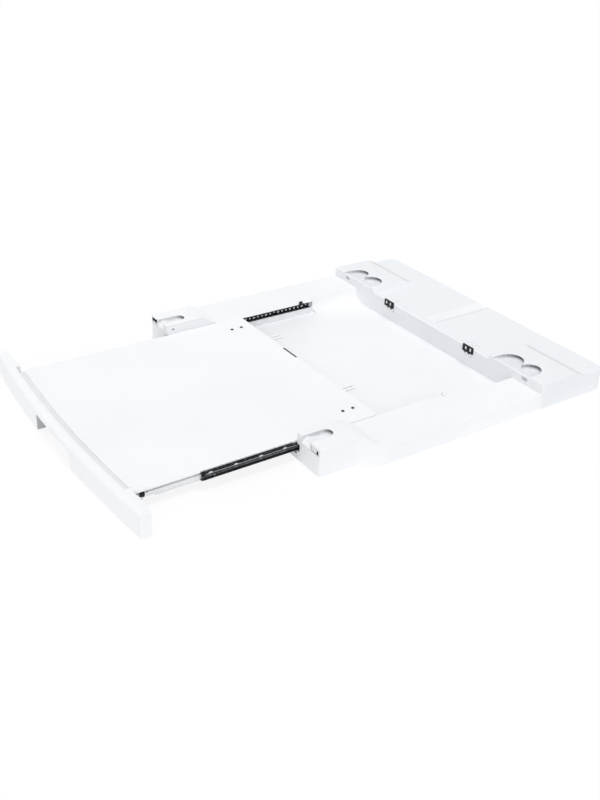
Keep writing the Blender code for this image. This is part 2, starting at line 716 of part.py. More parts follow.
def make_frame(parent):
    mesh = bmesh.new()
    half = frame_half_outline()
    add_prism(mesh, half + mirrored(half), "Z", FRAME_UNDERSIDE, PAD_TOP)
    frame = finish_object("base_frame", mesh, "white_body", parent)
    cut_rear_half(frame)
    cut_front_half(frame)
    cut_platform(frame)
    round_edges(frame, RIM_ROUND, 2, is_rim)
    cut_front_pockets(frame)
    cut_rear_pockets(frame)
    cut_groove(frame)
    cut_front_windows(frame)
    cut_slide_grooves(frame)
    cut_underside(frame)
    cut_small_holes(frame)
    shade_round(frame)


def make_grip_pads(parent):
    for corner, x, y in grip_places():
        mesh = bmesh.new()
        add_prism(mesh, grip_outline(x, y, 0), "Z", 0, FRAME_UNDERSIDE + GRIP_SINK - FIT_GAP)
        finish_object("grip_pad_" + corner, mesh, "rubber", parent)


def make_lock_clips(parent):
    """A black clip in each front window: a thick outer cheek, a base and a back."""
    top = PAD_TOP - CLIP_WINDOW_TOP - FIT_GAP
    bottom = PAD_TOP - CLIP_WINDOW_TOP - CLIP_WINDOW_HEIGHT + FIT_GAP
    for name, side in SIDES:
        outer = BLOCK_HALF_WIDTH - CLIP_WINDOW_OUTER - FIT_GAP
        inner = outer - CLIP_WINDOW_WIDTH + 2 * FIT_GAP
        section = [
            (side * inner, bottom), (side * outer, bottom), (side * outer, top),
            (side * (outer - CLIP_SIDE), top), (side * (outer - CLIP_SIDE), bottom + CLIP_BASE),
            (side * (inner + CLIP_BASE), bottom + CLIP_BASE), (side * (inner + CLIP_BASE), top),
            (side * inner, top),
        ]
        mesh = bmesh.new()
        add_prism(mesh, section, "Y", CLIP_RECESS, CLIP_DEPTH)
        finish_object("lock_clip_" + name, mesh, "black_plastic", parent)


# Slides

def section_on_side(points, side, back):
    """Section points given as (depth from the stage's back, height from the slide's axis)."""
    return [(side * (back - depth), SLIDE_AXIS_Z + height) for depth, height in points]


def channel_points():
    """C section with short lips, open towards the shelf."""
    half = CHANNEL_HALF_HEIGHT
    sheet = CHANNEL_SHEET
    flange = CHANNEL_FLANGE
    lip = half - sheet - CHANNEL_LIP
    upper = [
        (sheet, half - sheet), (flange - sheet, half - sheet), (flange - sheet, lip),
        (flange, lip), (flange, half), (0, half),
    ]
    lower = [(depth, -height) for depth, height in reversed(upper)]
    return lower + upper


def rail_points():
    """Smaller C section that runs in a channel, open towards the channel's web."""
    half = RAIL_HALF_HEIGHT
    web = STAGE_DEPTH - RAIL_SHEET
    tip = CHANNEL_SHEET + CAGE_SHEET + 2 * FIT_GAP
    upper = [(web, half - RAIL_SHEET), (tip, half - RAIL_SHEET), (tip, half), (STAGE_DEPTH, half)]
    lower = [(depth, -height) for depth, height in reversed(upper)]
    return lower + upper


def cage_points():
    """Thin C section between channel and rail, whose flanges hold the balls."""
    low = CHANNEL_SHEET + FIT_GAP
    high = CHANNEL_FLANGE - CHANNEL_SHEET - FIT_GAP
    middle = ball_row_height()
    outer = middle + CAGE_FLANGE / 2
    inner = middle - CAGE_FLANGE / 2
    upper = [(low + CAGE_SHEET, inner), (high, inner), (high, outer), (low, outer)]
    lower = [(depth, -height) for depth, height in reversed(upper)]
    return lower + upper


def ball_row_height():
    """Height of a ball row above the slide's axis: half way between rail and channel."""
    return (RAIL_HALF_HEIGHT + CHANNEL_HALF_HEIGHT - CHANNEL_SHEET) / 2


def ball_depth():
    return (CHANNEL_SHEET + FIT_GAP + CAGE_SHEET + CHANNEL_FLANGE - CHANNEL_SHEET - FIT_GAP) / 2


def ball_places(front):
    """Y of each ball of a row in a cage that starts at front."""
    margin = (CAGE_LENGTH - BALL_PITCH * (BALLS_PER_ROW - 1)) / 2
    return [front + margin + BALL_PITCH * i for i in range(BALLS_PER_ROW)]


def cabinet_screw_places():
    return (SLIDE_FRONT + SCREW_END_INSET, CABINET_SCREW_PLACE, SLIDE_REAR - SCREW_END_INSET)


def rivet_places():
    near = MIDDLE_FRONT + 2 * SCREW_END_INSET
    far = MIDDLE_REAR - 2 * SCREW_END_INSET
    return (near, far)


def rail_screw_places():
    near = RAIL_FRONT + 2 * SCREW_END_INSET
    far = RAIL_REAR - 2 * SCREW_END_INSET
    return (near, (near + far) / 2, far)


def outer_cage_front():
    return SLIDE_FRONT + CAGE_OFFSET


def inner_cage_front():
    """The inner cage sits half way along the overlap of shelf rail and middle channel."""
    return (MIDDLE_FRONT + RAIL_REAR - CAGE_LENGTH) / 2


def drill(part, side, places, low_depth_x, high_depth_x):
    """Screw holes across a slide member at the given Y places."""
    tool = bmesh.new()
    ends = sorted((side * low_depth_x, side * high_depth_x))
    for y in places:
        add_prism(tool, circle(y, SLIDE_AXIS_Z, SCREW_SHANK + FIT_GAP), "X", ends[0], ends[1])
    boolean(part, tool)


def make_member(name, points, side, back, front, length, slot, parent):
    mesh = bmesh.new()
    add_prism(mesh, section_on_side(points, side, back), "Y", front, front + length)
    return finish_object(name, mesh, slot, parent)


def make_pins(name, side, places, stations, slot, parent):
    """One headed pin at each place; stations are (distance from the middle plane, radius)."""
    for number, y in enumerate(places, 1):
        mesh = bmesh.new()
        add_turned_pin(mesh, side, y, stations)
        finish_object(name + "_" + str(number), mesh, slot, parent)


def add_turned_pin(mesh, side, y, stations):
    """Loft a pin through rings of the given radii and close both ends."""
    rings = []
    for x, radius in stations:
        ring = [mesh.verts.new((side * x, a, b)) for a, b in circle(y, SLIDE_AXIS_Z, radius)]
        rings.append(ring)
    skin_rings(mesh, rings)


def skin_rings(mesh, rings):
    """Join equal rings of points in turn and close both ends."""
    for first, second in zip(rings, rings[1:]):
        for i in range(len(first)):
            j = (i + 1) % len(first)
            mesh.faces.new((first[i], first[j], second[j], second[i]))
    mesh.faces.new(rings[0])
    mesh.faces.new(rings[-1])
    bmesh.ops.recalc_face_normals(mesh, faces=mesh.faces)


def make_cage(name, side, back, front, parent):
    """Ball cage with its two rows of balls, which are snapped into the flanges and go with it."""
    cage = make_member(name, cage_points(), side, back, front, CAGE_LENGTH, "zinc_steel", parent)
    balls = bmesh.new()
    x = side * (back - ball_depth())
    for y in ball_places(front):
        for sign in (-1, 1):
            made = bmesh.ops.create_uvsphere(balls, u_segments=8, v_segments=4, radius=BALL_RADIUS)
            bmesh.ops.translate(balls, verts=made["verts"],
                                vec=(x, y, SLIDE_AXIS_Z + sign * ball_row_height()))
    boolean(cage, balls, "UNION")
    shade_round(cage)


def make_slide(name, side, parents):
    """One complete slide: cabinet channel, middle rail and channel, shelf rail, cages and balls."""
    fixed = parents["frame"]
    middle = parents["middle_" + name]
    shelf = parents["shelf"]
    cabinet = make_member("slide_cabinet_channel_" + name, channel_points(), side, STAGE_1_BACK,
                          SLIDE_FRONT, SLIDE_LENGTH, "black_steel", fixed)
    drill(cabinet, side, cabinet_screw_places(), STAGE_1_BACK - 2 * CHANNEL_SHEET, STAGE_1_BACK + OVERRUN)
    rail = make_member("slide_middle_rail_" + name, rail_points(), side, STAGE_1_BACK,
                       MIDDLE_FRONT, SLIDE_LENGTH, "black_steel", middle)
    web = STAGE_1_BACK - STAGE_DEPTH
    drill(rail, side, rivet_places(), web - RAIL_SHEET, web + 2 * RAIL_SHEET)
    channel = make_member("slide_middle_channel_" + name, channel_points(), side, STAGE_2_BACK,
                          MIDDLE_FRONT, SLIDE_LENGTH, "black_steel", middle)
    drill(channel, side, rivet_places(), STAGE_2_BACK - 2 * CHANNEL_SHEET, STAGE_2_BACK + CHANNEL_SHEET)
    shelf_rail = make_member("slide_shelf_rail_" + name, rail_points(), side, STAGE_2_BACK,
                             RAIL_FRONT, SLIDE_LENGTH, "zinc_steel", shelf)
    web = STAGE_2_BACK - STAGE_DEPTH
    drill(shelf_rail, side, rail_screw_places(), web - RAIL_SHEET, web + 2 * RAIL_SHEET)
    make_cage("outer_ball_cage_" + name, side, STAGE_1_BACK, outer_cage_front(), parents["outer_" + name])
    make_cage("inner_ball_cage_" + name, side, STAGE_2_BACK, inner_cage_front(), parents["inner_" + name])
    make_slide_pins(name, side, fixed, middle, shelf)


def make_slide_pins(name, side, fixed, middle, shelf):
    """Screws of the cabinet channel, rivets of the middle member and screws of the shelf rail."""
    web = STAGE_1_BACK - CHANNEL_SHEET - FIT_GAP
    stations = [
        (web - SMALL_HEAD_HEIGHT, SMALL_HEAD * HEAD_TOP_SHARE),
        (web - SMALL_HEAD_HEIGHT / 2, SMALL_HEAD),
        (web, SMALL_HEAD),
        (web, SCREW_SHANK),
        (SLIDE_GROOVE_BACK + CABINET_SCREW_LENGTH - FIT_GAP, SCREW_SHANK),
    ]
    make_pins("cabinet_screw_" + name, side, cabinet_screw_places(), stations, "black_steel", fixed)
    inner = STAGE_2_BACK - CHANNEL_SHEET - FIT_GAP
    outer = STAGE_1_BACK - STAGE_DEPTH + RAIL_SHEET + FIT_GAP
    stations = [
        (inner - SMALL_HEAD_HEIGHT, SMALL_HEAD * HEAD_TOP_SHARE), (inner, SMALL_HEAD), (inner, SCREW_SHANK),
        (outer, SCREW_SHANK), (outer, SMALL_HEAD), (outer + SMALL_HEAD_HEIGHT, SMALL_HEAD * HEAD_TOP_SHARE),
    ]
    make_pins("slide_rivet_" + name, side, rivet_places(), stations, "zinc_steel", middle)
    head = STAGE_2_BACK - STAGE_DEPTH + RAIL_SHEET + FIT_GAP
    stations = [
        (ANGLE_FACE - 2 * ANGLE_SHEET - FIT_GAP, SCREW_SHANK), (head, SCREW_SHANK), (head, SMALL_HEAD),
        (head + SMALL_HEAD_HEIGHT, SMALL_HEAD * HEAD_TOP_SHARE),
    ]
    make_pins("rail_screw_" + name, side, rail_screw_places(), stations, "zinc_steel", shelf)


def make_bumper(name, side, parent):
    """Black end piece in front of the shelf rail, in line with its section, with a taller nose."""
    outer = STAGE_2_BACK - CHANNEL_SHEET - SMALL_HEAD_HEIGHT - 3 * FIT_GAP
    inner = STAGE_2_BACK - STAGE_DEPTH
    back = RAIL_FRONT - FIT_GAP
    nose = back - BUMPER_LENGTH
    profile = [
        (nose - BUMPER_NOSE, SLIDE_AXIS_Z - BUMPER_NOSE_HALF_HEIGHT + BUMPER_NOSE / 2),
        (nose - BUMPER_NOSE / 2, SLIDE_AXIS_Z - BUMPER_NOSE_HALF_HEIGHT),
        (nose, SLIDE_AXIS_Z - BUMPER_NOSE_HALF_HEIGHT),
        (nose, SLIDE_AXIS_Z - RAIL_HALF_HEIGHT),
        (back, SLIDE_AXIS_Z - RAIL_HALF_HEIGHT),
        (back, SLIDE_AXIS_Z + RAIL_HALF_HEIGHT),
        (nose, SLIDE_AXIS_Z + RAIL_HALF_HEIGHT),
        (nose, SLIDE_AXIS_Z + BUMPER_NOSE_HALF_HEIGHT),
        (nose - BUMPER_NOSE / 2, SLIDE_AXIS_Z + BUMPER_NOSE_HALF_HEIGHT),
        (nose - BUMPER_NOSE, SLIDE_AXIS_Z + BUMPER_NOSE_HALF_HEIGHT - BUMPER_NOSE / 2),
    ]
    mesh = bmesh.new()
    ends = sorted((side * inner, side * outer))
    add_prism(mesh, profile, "X", ends[0], ends[1])
    finish_object("shelf_bumper_" + name, mesh, "black_plastic", parent)


def make_lug(name, side, parent):
    """Small clip hooked over the rail's edge above the rear end of the slide."""
    base = SLIDE_AXIS_Z + CHANNEL_HALF_HEIGHT + FIT_GAP
    outer = BAY_HALF_WIDTH - FIT_GAP
    inner = outer - LUG_WIDTH
    hook = RAIL_TOP + FIT_GAP
    top = RAIL_TOP + LUG_HEIGHT
    rear = SLIDE_REAR - LUG_INSET
    section = [
        (inner, base), (outer, base), (outer, hook), (outer + LUG_HOOK, hook),
        (outer + LUG_HOOK, hook + LUG_HOOK_HEIGHT), (outer, hook + LUG_HOOK_HEIGHT),
        (outer - LUG_CORNER, top), (inner + LUG_CORNER, top), (inner, top - LUG_CORNER),
    ]
    mesh = bmesh.new()
    add_prism(mesh, [(side * x, z) for x, z in section], "Y", rear - LUG_LENGTH, rear)
    finish_object("slide_lug_" + name, mesh, "black_plastic", parent)


# Shelf

def bow(x, half_width, depth):
    """How far a bowed edge stands forward at x: depth in the middle and zero at its ends."""
    return depth * (1 - (x / half_width) ** 2)


def front_face_y(x):
    """Front face of the fascia."""
    return FASCIA_BACK_Y - FASCIA_END_THICKNESS - bow(x, FASCIA_HALF_WIDTH, FASCIA_BOW)


def shelf_front_y(x):
    """Front edge of the shelf, which follows the fascia's bow behind a finger-wide gap."""
    return front_face_y(x) + FASCIA_WALL + SHELF_FRONT_GAP


def bowed_row(half_width, offset, segments=FASCIA_SEGMENTS):
    """Points along the bow from -half_width to half_width, moved back by offset."""
    points = []
    for step in range(segments + 1):
        x = half_width * (2 * step / segments - 1)
        points.append((x, front_face_y(x) + offset))
    return points


def shelf_outline(half_width, offset, rear, radius):
    """Plan of the shelf: bowed front edge and rounded corners."""
    row = bowed_row(half_width - radius, FASCIA_WALL + SHELF_FRONT_GAP + offset)
    corner_y = row[0][1] + radius
    points = list(row)
    points += arc((half_width - radius, corner_y), radius, -90, 0, 3)[1:]
    points += arc((half_width - radius, rear - radius), radius, 0, 90, 3)
    points += arc((-half_width + radius, rear - radius), radius, 90, 180, 3)
    points += arc((-half_width + radius, corner_y), radius, 180, 270, 3)[:-1]
    return points


def shelf_screw_places():
    return (SHELF_REAR - SHELF_SCREW_INSET - SHELF_SCREW_PITCH / 2,
            SHELF_REAR - SHELF_SCREW_INSET + SHELF_SCREW_PITCH / 2)


def fascia_screw_places():
    """X and Y of the screws that join the fascia's ledge to the bosses under the shelf."""
    places = []
    for x in (-FASCIA_SCREW_X, -FASCIA_SCREW_INNER_X, FASCIA_SCREW_INNER_X, FASCIA_SCREW_X):
        places.append((x, shelf_front_y(x) + BOSS_INSET))
    return places


def cut_shelf_underside(shelf):
    """Hollow the shelf from below: bowed front skirt, rear skirt, ribs and screw bosses."""
    low = SHELF_SKIRT_BOTTOM - OVERRUN
    inner = SHELF_CORE_HALF_WIDTH - SHELF_SKIRT
    front = shelf_front_y(0) + SHELF_SKIRT
    rear = SHELF_REAR - SHELF_SKIRT
    tool = bmesh.new()
    rim_bottom = SLIDE_AXIS_Z + CHANNEL_HALF_HEIGHT + FIT_GAP
    for side in (-1, 1):
        edge = side * (SHELF_HALF_WIDTH + OVERRUN)
        add_box(tool, sorted((side * SHELF_CORE_HALF_WIDTH, edge)),
                (FASCIA_FRONT_Y, SHELF_REAR + OVERRUN), (low, rim_bottom))
    boolean(shelf, tool)
    tool = bmesh.new()
    for side in (-1, 1):
        add_box(tool, sorted((side * SHELF_CORE_HALF_WIDTH, side * (SHELF_HALF_WIDTH - SHELF_RIM))),
                (FASCIA_FRONT_Y, SHELF_REAR - SHELF_RIM), (rim_bottom - OVERRUN, SHEET_UNDERSIDE))
    boolean(shelf, tool)
    tool = bmesh.new()
    add_box(tool, (-SHELF_CORE_HALF_WIDTH - OVERRUN, SHELF_CORE_HALF_WIDTH + OVERRUN),
            (SHELF_REAR - 2 * SHELF_SKIRT - SHELF_RIB, SHELF_REAR + OVERRUN), (low, SHELF_REAR_SKIRT_BOTTOM))
    boolean(shelf, tool)
    tool = bmesh.new()
    bed_front = shelf_front_y(inner) + 2 * BOSS_INSET
    row = bowed_row(inner, FASCIA_WALL + SHELF_FRONT_GAP + SHELF_SKIRT)
    bay = row + [(inner, bed_front - SHELF_RIB), (-inner, bed_front - SHELF_RIB)]
    add_prism(tool, bay, "Z", low, SHEET_UNDERSIDE)
    boolean(shelf, tool)
    tool = bmesh.new()
    for cell_x in cell_row(-inner, inner, SHELF_CELLS_X, SHELF_RIB):
        for cell_y in cell_row(bed_front, rear, SHELF_CELLS_Y, SHELF_RIB):
            add_box(tool, cell_x, cell_y, (SHELF_RIB_BOTTOM - OVERRUN, SHEET_UNDERSIDE))
    boolean(shelf, tool)
    tool = bmesh.new()
    add_box(tool, (-SHELF_CORE_HALF_WIDTH - OVERRUN, SHELF_CORE_HALF_WIDTH + OVERRUN),
            (bed_front - SHELF_RIB, rear), (low, SHELF_RIB_BOTTOM))
    boolean(shelf, tool)
    add_bosses(shelf)


def add_bosses(shelf):
    """Round bosses for the fascia screws, hanging from the sheet."""
    for x, y in fascia_screw_places():
        tool = bmesh.new()
        add_prism(tool, circle(x, y, BOSS_RADIUS), "Z", SHELF_SKIRT_BOTTOM, SHEET_UNDERSIDE + SHELF_SHEET / 2)
        boolean(shelf, tool, "UNION")
    tool = bmesh.new()
    for x, y in fascia_screw_places():
        add_prism(tool, circle(x, y, SCREW_SHANK + FIT_GAP), "Z", SHELF_SKIRT_BOTTOM - OVERRUN,
                  LEDGE_TOP + FASCIA_SCREW_LENGTH)
    boolean(shelf, tool)


def cut_shelf_top(shelf):
    """Oval dimples with two screw holes at the rear corners, a slot and the strikers' openings."""
    middle = SHELF_REAR - SHELF_SCREW_INSET
    tool = bmesh.new()
    for side in (-1, 1):
        x = side * DIMPLE_X
        oval = rounded_box(x - DIMPLE_WIDTH / 2, x + DIMPLE_WIDTH / 2, middle - DIMPLE_LENGTH / 2,
                           middle + DIMPLE_LENGTH / 2, DIMPLE_WIDTH / 2 - FIT_GAP)
        add_prism(tool, oval, "Z", SHELF_TOP - DIMPLE_DEPTH, SHELF_TOP + OVERRUN)
    boolean(shelf, tool)
    tool = bmesh.new()
    for side in (-1, 1):
        for y in shelf_screw_places():
            hole = circle(side * DIMPLE_X, y, SCREW_SHANK + FIT_GAP)
            add_prism(tool, hole, "Z", SHEET_UNDERSIDE - OVERRUN, SHELF_TOP + OVERRUN)
    rear_slot = SHELF_REAR - SLOT_INSET
    add_box(tool, (-SLOT_LEFT, -SLOT_LEFT + SLOT_LENGTH), (rear_slot - SLOT_WIDTH, rear_slot),
            (SHELF_REAR_SKIRT_BOTTOM - OVERRUN, SHELF_TOP + OVERRUN))
    boolean(shelf, tool)
    tool = bmesh.new()
    for side in (-1, 1):
        x = side * CATCH_X
        half = STRIKER_WIDTH / 2 + FIT_GAP
        add_box(tool, (x - half, x + half),
                (SHELF_REAR - STRIKER_ROOT - FIT_GAP, SHELF_REAR + OVERRUN),
                (SHELF_REAR_SKIRT_BOTTOM - OVERRUN, SHEET_UNDERSIDE))
    boolean(shelf, tool)


def make_shelf(parent):
    mesh = bmesh.new()
    outline = shelf_outline(SHELF_HALF_WIDTH, 0, SHELF_REAR, SHELF_CORNER_RADIUS)
    add_prism(mesh, outline, "Z", SHELF_SKIRT_BOTTOM, SHELF_TOP)
    shelf = finish_object("shelf_panel", mesh, "white_body", parent)
    round_edges(shelf, SHELF_ROUND, 2, lambda edge: min(edge_heights(edge)) > SHEET_UNDERSIDE)
    cut_shelf_underside(shelf)
    cut_shelf_top(shelf)
    shade_round(shelf)


def make_angle(name, side, parent):
    """Steel angle under the shelf's edge: its upright carries the shelf rail."""
    top = SHEET_UNDERSIDE - FIT_GAP
    section = [
        (side * ANGLE_FACE, top - ANGLE_HEIGHT), (side * ANGLE_FACE, top),
        (side * (ANGLE_FACE - ANGLE_WIDTH), top), (side * (ANGLE_FACE - ANGLE_WIDTH), top - ANGLE_SHEET),
        (side * (ANGLE_FACE - ANGLE_SHEET), top - ANGLE_SHEET),
        (side * (ANGLE_FACE - ANGLE_SHEET), top - ANGLE_HEIGHT),
    ]
    mesh = bmesh.new()
    add_prism(mesh, section, "Y", RAIL_FRONT + ANGLE_FRONT_INSET, SHELF_REAR - ANGLE_REAR_INSET)
    angle = finish_object("side_angle_" + name, mesh, "zinc_steel", parent)
    drill(angle, side, rail_screw_places(), ANGLE_FACE - 2 * ANGLE_SHEET, ANGLE_FACE + ANGLE_SHEET)
    tool = bmesh.new()
    for y in shelf_screw_places():
        hole = circle(side * DIMPLE_X, y, SCREW_SHANK + FIT_GAP)
        add_prism(tool, hole, "Z", top - 2 * ANGLE_SHEET, top + ANGLE_SHEET)
    boolean(angle, tool)


def make_striker(name, side, parent):
    """Tongue under the rear edge of the shelf, with two prongs that enter the catch."""
    x = side * CATCH_X
    half = STRIKER_WIDTH / 2
    rear = SHELF_REAR + SHELF_REAR_GAP - CATCH_PLATE - CLOSED_GAP
    tip = SHELF_REAR + SHELF_REAR_GAP + STRIKER_PRONG_LENGTH
    root = SHELF_REAR - STRIKER_ROOT
    near = CATCH_POST / 2 + (CATCH_WINDOW_WIDTH - STRIKER_PRONG_WIDTH) / 2
    far = near + STRIKER_PRONG_WIDTH
    right = [(x + half, root)]
    right += arc((x + half - STRIKER_CORNER, rear - STRIKER_CORNER), STRIKER_CORNER, 0, 90, 3)
    right += [(x + far, rear), (x + far, tip), (x + near, tip), (x + near, rear)]
    left = [(2 * x - a, b) for a, b in reversed(right)]
    mesh = bmesh.new()
    top = SHEET_UNDERSIDE - FIT_GAP
    add_prism(mesh, right + left, "Z", top - STRIKER_THICKNESS, top)
    finish_object("striker_" + name, mesh, "white_body", parent)


# Catches

def catch_middle_z():
    return PLATFORM_TOP - CATCH_TOP_DROP - CATCH_HEIGHT / 2


def make_catch(name, side, parent):
    """Black catch: a face plate on the bay's rear wall and a body let into the frame behind it."""
    x = side * CATCH_X
    z = catch_middle_z()
    mesh = bmesh.new()
    plate = rounded_box(x - CATCH_WIDTH / 2, x + CATCH_WIDTH / 2, z - CATCH_HEIGHT / 2,
                        z + CATCH_HEIGHT / 2, CATCH_PLATE)
    add_prism(mesh, plate, "Y", BAY_REAR - FIT_GAP - CATCH_PLATE, BAY_REAR - FIT_GAP)
    catch = finish_object("rear_catch_" + name, mesh, "black_plastic", parent)
    tool = bmesh.new()
    add_box(tool, (x - CATCH_BODY_WIDTH / 2, x + CATCH_BODY_WIDTH / 2),
            (BAY_REAR - FIT_GAP - CATCH_PLATE / 2, BAY_REAR + CATCH_BODY_DEPTH),
            (z - CATCH_BODY_HEIGHT / 2, z + CATCH_BODY_HEIGHT / 2))
    boolean(catch, tool, "UNION")
    tool = bmesh.new()
    for sign in (-1, 1):
        middle = x + sign * (CATCH_POST + CATCH_WINDOW_WIDTH) / 2
        add_box(tool, (middle - CATCH_WINDOW_WIDTH / 2, middle + CATCH_WINDOW_WIDTH / 2),
                (BAY_REAR - OVERRUN, BAY_REAR + CATCH_WINDOW_DEPTH),
                (z - CATCH_WINDOW_HEIGHT / 2, z + CATCH_WINDOW_HEIGHT / 2))
    boolean(catch, tool)


# Fascia

def fascia_outline():
    """Plan of the fascia: bowed front, rounded ends, and the ledge that reaches under the shelf."""
    radius = FASCIA_CORNER_RADIUS
    row = bowed_row(FASCIA_HALF_WIDTH - radius, 0)
    corner_y = row[0][1] + radius
    points = list(row)
    points += arc((FASCIA_HALF_WIDTH - radius, corner_y), radius, -90, 0, 3)[1:]
    points += [(FASCIA_HALF_WIDTH, FASCIA_BACK_Y), (LEDGE_HALF_WIDTH, FASCIA_BACK_Y),
               (LEDGE_HALF_WIDTH, FASCIA_BACK_Y + LEDGE_REACH), (-LEDGE_HALF_WIDTH, FASCIA_BACK_Y + LEDGE_REACH),
               (-LEDGE_HALF_WIDTH, FASCIA_BACK_Y), (-FASCIA_HALF_WIDTH, FASCIA_BACK_Y)]
    points += arc((-FASCIA_HALF_WIDTH + radius, corner_y), radius, 180, 270, 3)[:-1]
    return points


def is_front_top(edge):
    if min(edge_heights(edge)) < FASCIA_TOP - FIT_GAP:
        return False
    return all(vert.co.y < front_face_y(vert.co.x) + FIT_GAP for vert in edge.verts)


def cut_fascia(fascia):
    """Room for the shelf above the ledge, the hollow end blocks and the finger notch."""
    tool = bmesh.new()
    row = bowed_row(FASCIA_BLOCK_INNER, FASCIA_WALL)
    room = row + [(FASCIA_BLOCK_INNER, FASCIA_BACK_Y + 2 * LEDGE_REACH),
                  (-FASCIA_BLOCK_INNER, FASCIA_BACK_Y + 2 * LEDGE_REACH)]
    add_prism(tool, room, "Z", LEDGE_TOP, FASCIA_TOP + OVERRUN)
    boolean(fascia, tool)
    tool = bmesh.new()
    row = bowed_row(LEDGE_HALF_WIDTH + FASCIA_RIM, FASCIA_WALL)
    under = row + [(LEDGE_HALF_WIDTH + FASCIA_RIM, FASCIA_BACK_Y + 2 * LEDGE_REACH),
                   (-LEDGE_HALF_WIDTH - FASCIA_RIM, FASCIA_BACK_Y + 2 * LEDGE_REACH)]
    add_prism(tool, under, "Z", FASCIA_BOTTOM - OVERRUN, LEDGE_TOP - LEDGE_THICKNESS)
    boolean(fascia, tool)
    tool = bmesh.new()
    for side in (-1, 1):
        outer = side * (FASCIA_HALF_WIDTH - FASCIA_RIM)
        inner = side * (FASCIA_BLOCK_INNER + FASCIA_RIM)
        front = front_face_y(FASCIA_HALF_WIDTH) + FASCIA_ROUND / 2
        add_box(tool, sorted((outer, inner)), (front, FASCIA_BACK_Y + OVERRUN),
                (FASCIA_BOTTOM + FASCIA_RIM, FASCIA_TOP - FASCIA_RIM))
    boolean(fascia, tool)
    tool = bmesh.new()
    notch = [(NOTCH_HALF_WIDTH, FASCIA_BOTTOM - OVERRUN)]
    notch += arc((NOTCH_HALF_WIDTH - NOTCH_RADIUS, NOTCH_TOP - NOTCH_RADIUS), NOTCH_RADIUS, 0, 90, 3)
    add_prism(tool, notch + mirrored(notch), "Y", FASCIA_FRONT_Y - OVERRUN,
              front_face_y(NOTCH_HALF_WIDTH) + FASCIA_WALL + FIT_GAP)
    boolean(fascia, tool)
    tool = bmesh.new()
    reach = [(NOTCH_HALF_WIDTH, FASCIA_BOTTOM - OVERRUN), (NOTCH_HALF_WIDTH, LEDGE_TOP + OVERRUN / 2)]
    add_prism(tool, reach + mirrored(reach), "Y", front_face_y(0) + FASCIA_WALL - FIT_GAP,
              shelf_front_y(0))
    boolean(fascia, tool)
    tool = bmesh.new()
    for x, y in fascia_screw_places():
        add_prism(tool, circle(x, y, SCREW_SHANK + FIT_GAP), "Z", FASCIA_BOTTOM, LEDGE_TOP + OVERRUN)
    boolean(fascia, tool)


def make_fascia(parent):
    mesh = bmesh.new()
    add_prism(mesh, fascia_outline(), "Z", FASCIA_BOTTOM, FASCIA_TOP)
    fascia = finish_object("fascia", mesh, "white_gloss", parent)
    round_edges(fascia, FASCIA_ROUND, 5, is_front_top)
    cut_fascia(fascia)
    shade_round(fascia)


# Screws with upright axes

def make_upright_screw(name, place, seat, length, up, parent):
    """Pan-head screw whose head sits on seat; up is 1 with the head on top and -1 with it below."""
    stations = [
        (seat + up * SCREW_HEAD_HEIGHT, SCREW_HEAD * HEAD_TOP_SHARE),
        (seat + up * SCREW_HEAD_HEIGHT * HEAD_EDGE_SHARE, SCREW_HEAD),
        (seat, SCREW_HEAD),
        (seat, SCREW_SHANK),
        (seat - up * length, SCREW_SHANK),
        (seat - up * (length + SCREW_SHANK), SCREW_SHANK * TIP_SHARE),
    ]
    mesh = bmesh.new()
    rings = []
    for z, radius in stations:
        rings.append([mesh.verts.new((a, b, z)) for a, b in circle(place[0], place[1], radius)])
    skin_rings(mesh, rings)
    screw = finish_object(name, mesh, "zinc_steel", parent)
    shade_round(screw)


def make_screws(parents):
    for name, side in SIDES:
        for number, y in enumerate(shelf_screw_places(), 1):
            make_upright_screw("rear_shelf_screw_" + name + "_" + str(number), (side * DIMPLE_X, y),
                               SHELF_TOP - DIMPLE_DEPTH + FIT_GAP, SHELF_SCREW_LENGTH, 1, parents["shelf"])
        seat = PLATFORM_TOP - CATCH_DISH_DEPTH + FIT_GAP
        roof = catch_middle_z() + CATCH_BODY_HEIGHT / 2
        make_upright_screw("catch_screw_" + name, (side * CATCH_X, BAY_REAR + CATCH_DISH_CENTRE),
                           seat, seat - roof - FIT_GAP - SCREW_SHANK, 1, parents["frame"])
    for number, place in enumerate(fascia_screw_places(), 1):
        make_upright_screw("fascia_screw_" + str(number), place, LEDGE_TOP - LEDGE_THICKNESS - FIT_GAP,
                           FASCIA_SCREW_LENGTH, -1, parents["shelf"])


def make_parents():
    """Empties: one carries the kit, one stands for each moving body."""
    names = ["frame", "shelf", "middle_left", "middle_right", "outer_left", "outer_right",
             "inner_left", "inner_right"]
    root = bpy.data.objects.new("kit_origin", None)
    bpy.context.scene.collection.objects.link(root)
    root.location = (0, -ORIGIN_Y, 0)
    parents = {}
    for name in names:
        empty = bpy.data.objects.new("carrier_" + name, None)
        bpy.context.scene.collection.objects.link(empty)
        empty.parent = root
        parents[name] = empty
    return parents


def main():
    clear_scene()
    parents = make_parents()
    make_frame(parents["frame"])
    make_grip_pads(parents["frame"])
    make_lock_clips(parents["frame"])
    for name, side in SIDES:
        make_slide(name, side, parents)
        make_bumper(name, side, parents["shelf"])
        make_lug(name, side, parents["frame"])
        make_catch(name, side, parents["frame"])
        make_angle(name, side, parents["shelf"])
        make_striker(name, side, parents["shelf"])
    make_shelf(parents["shelf"])
    make_fascia(parents["shelf"])
    make_screws(parents)


main()
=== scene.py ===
import bpy
import bmesh
import json
import math
from mathutils import Matrix, Vector

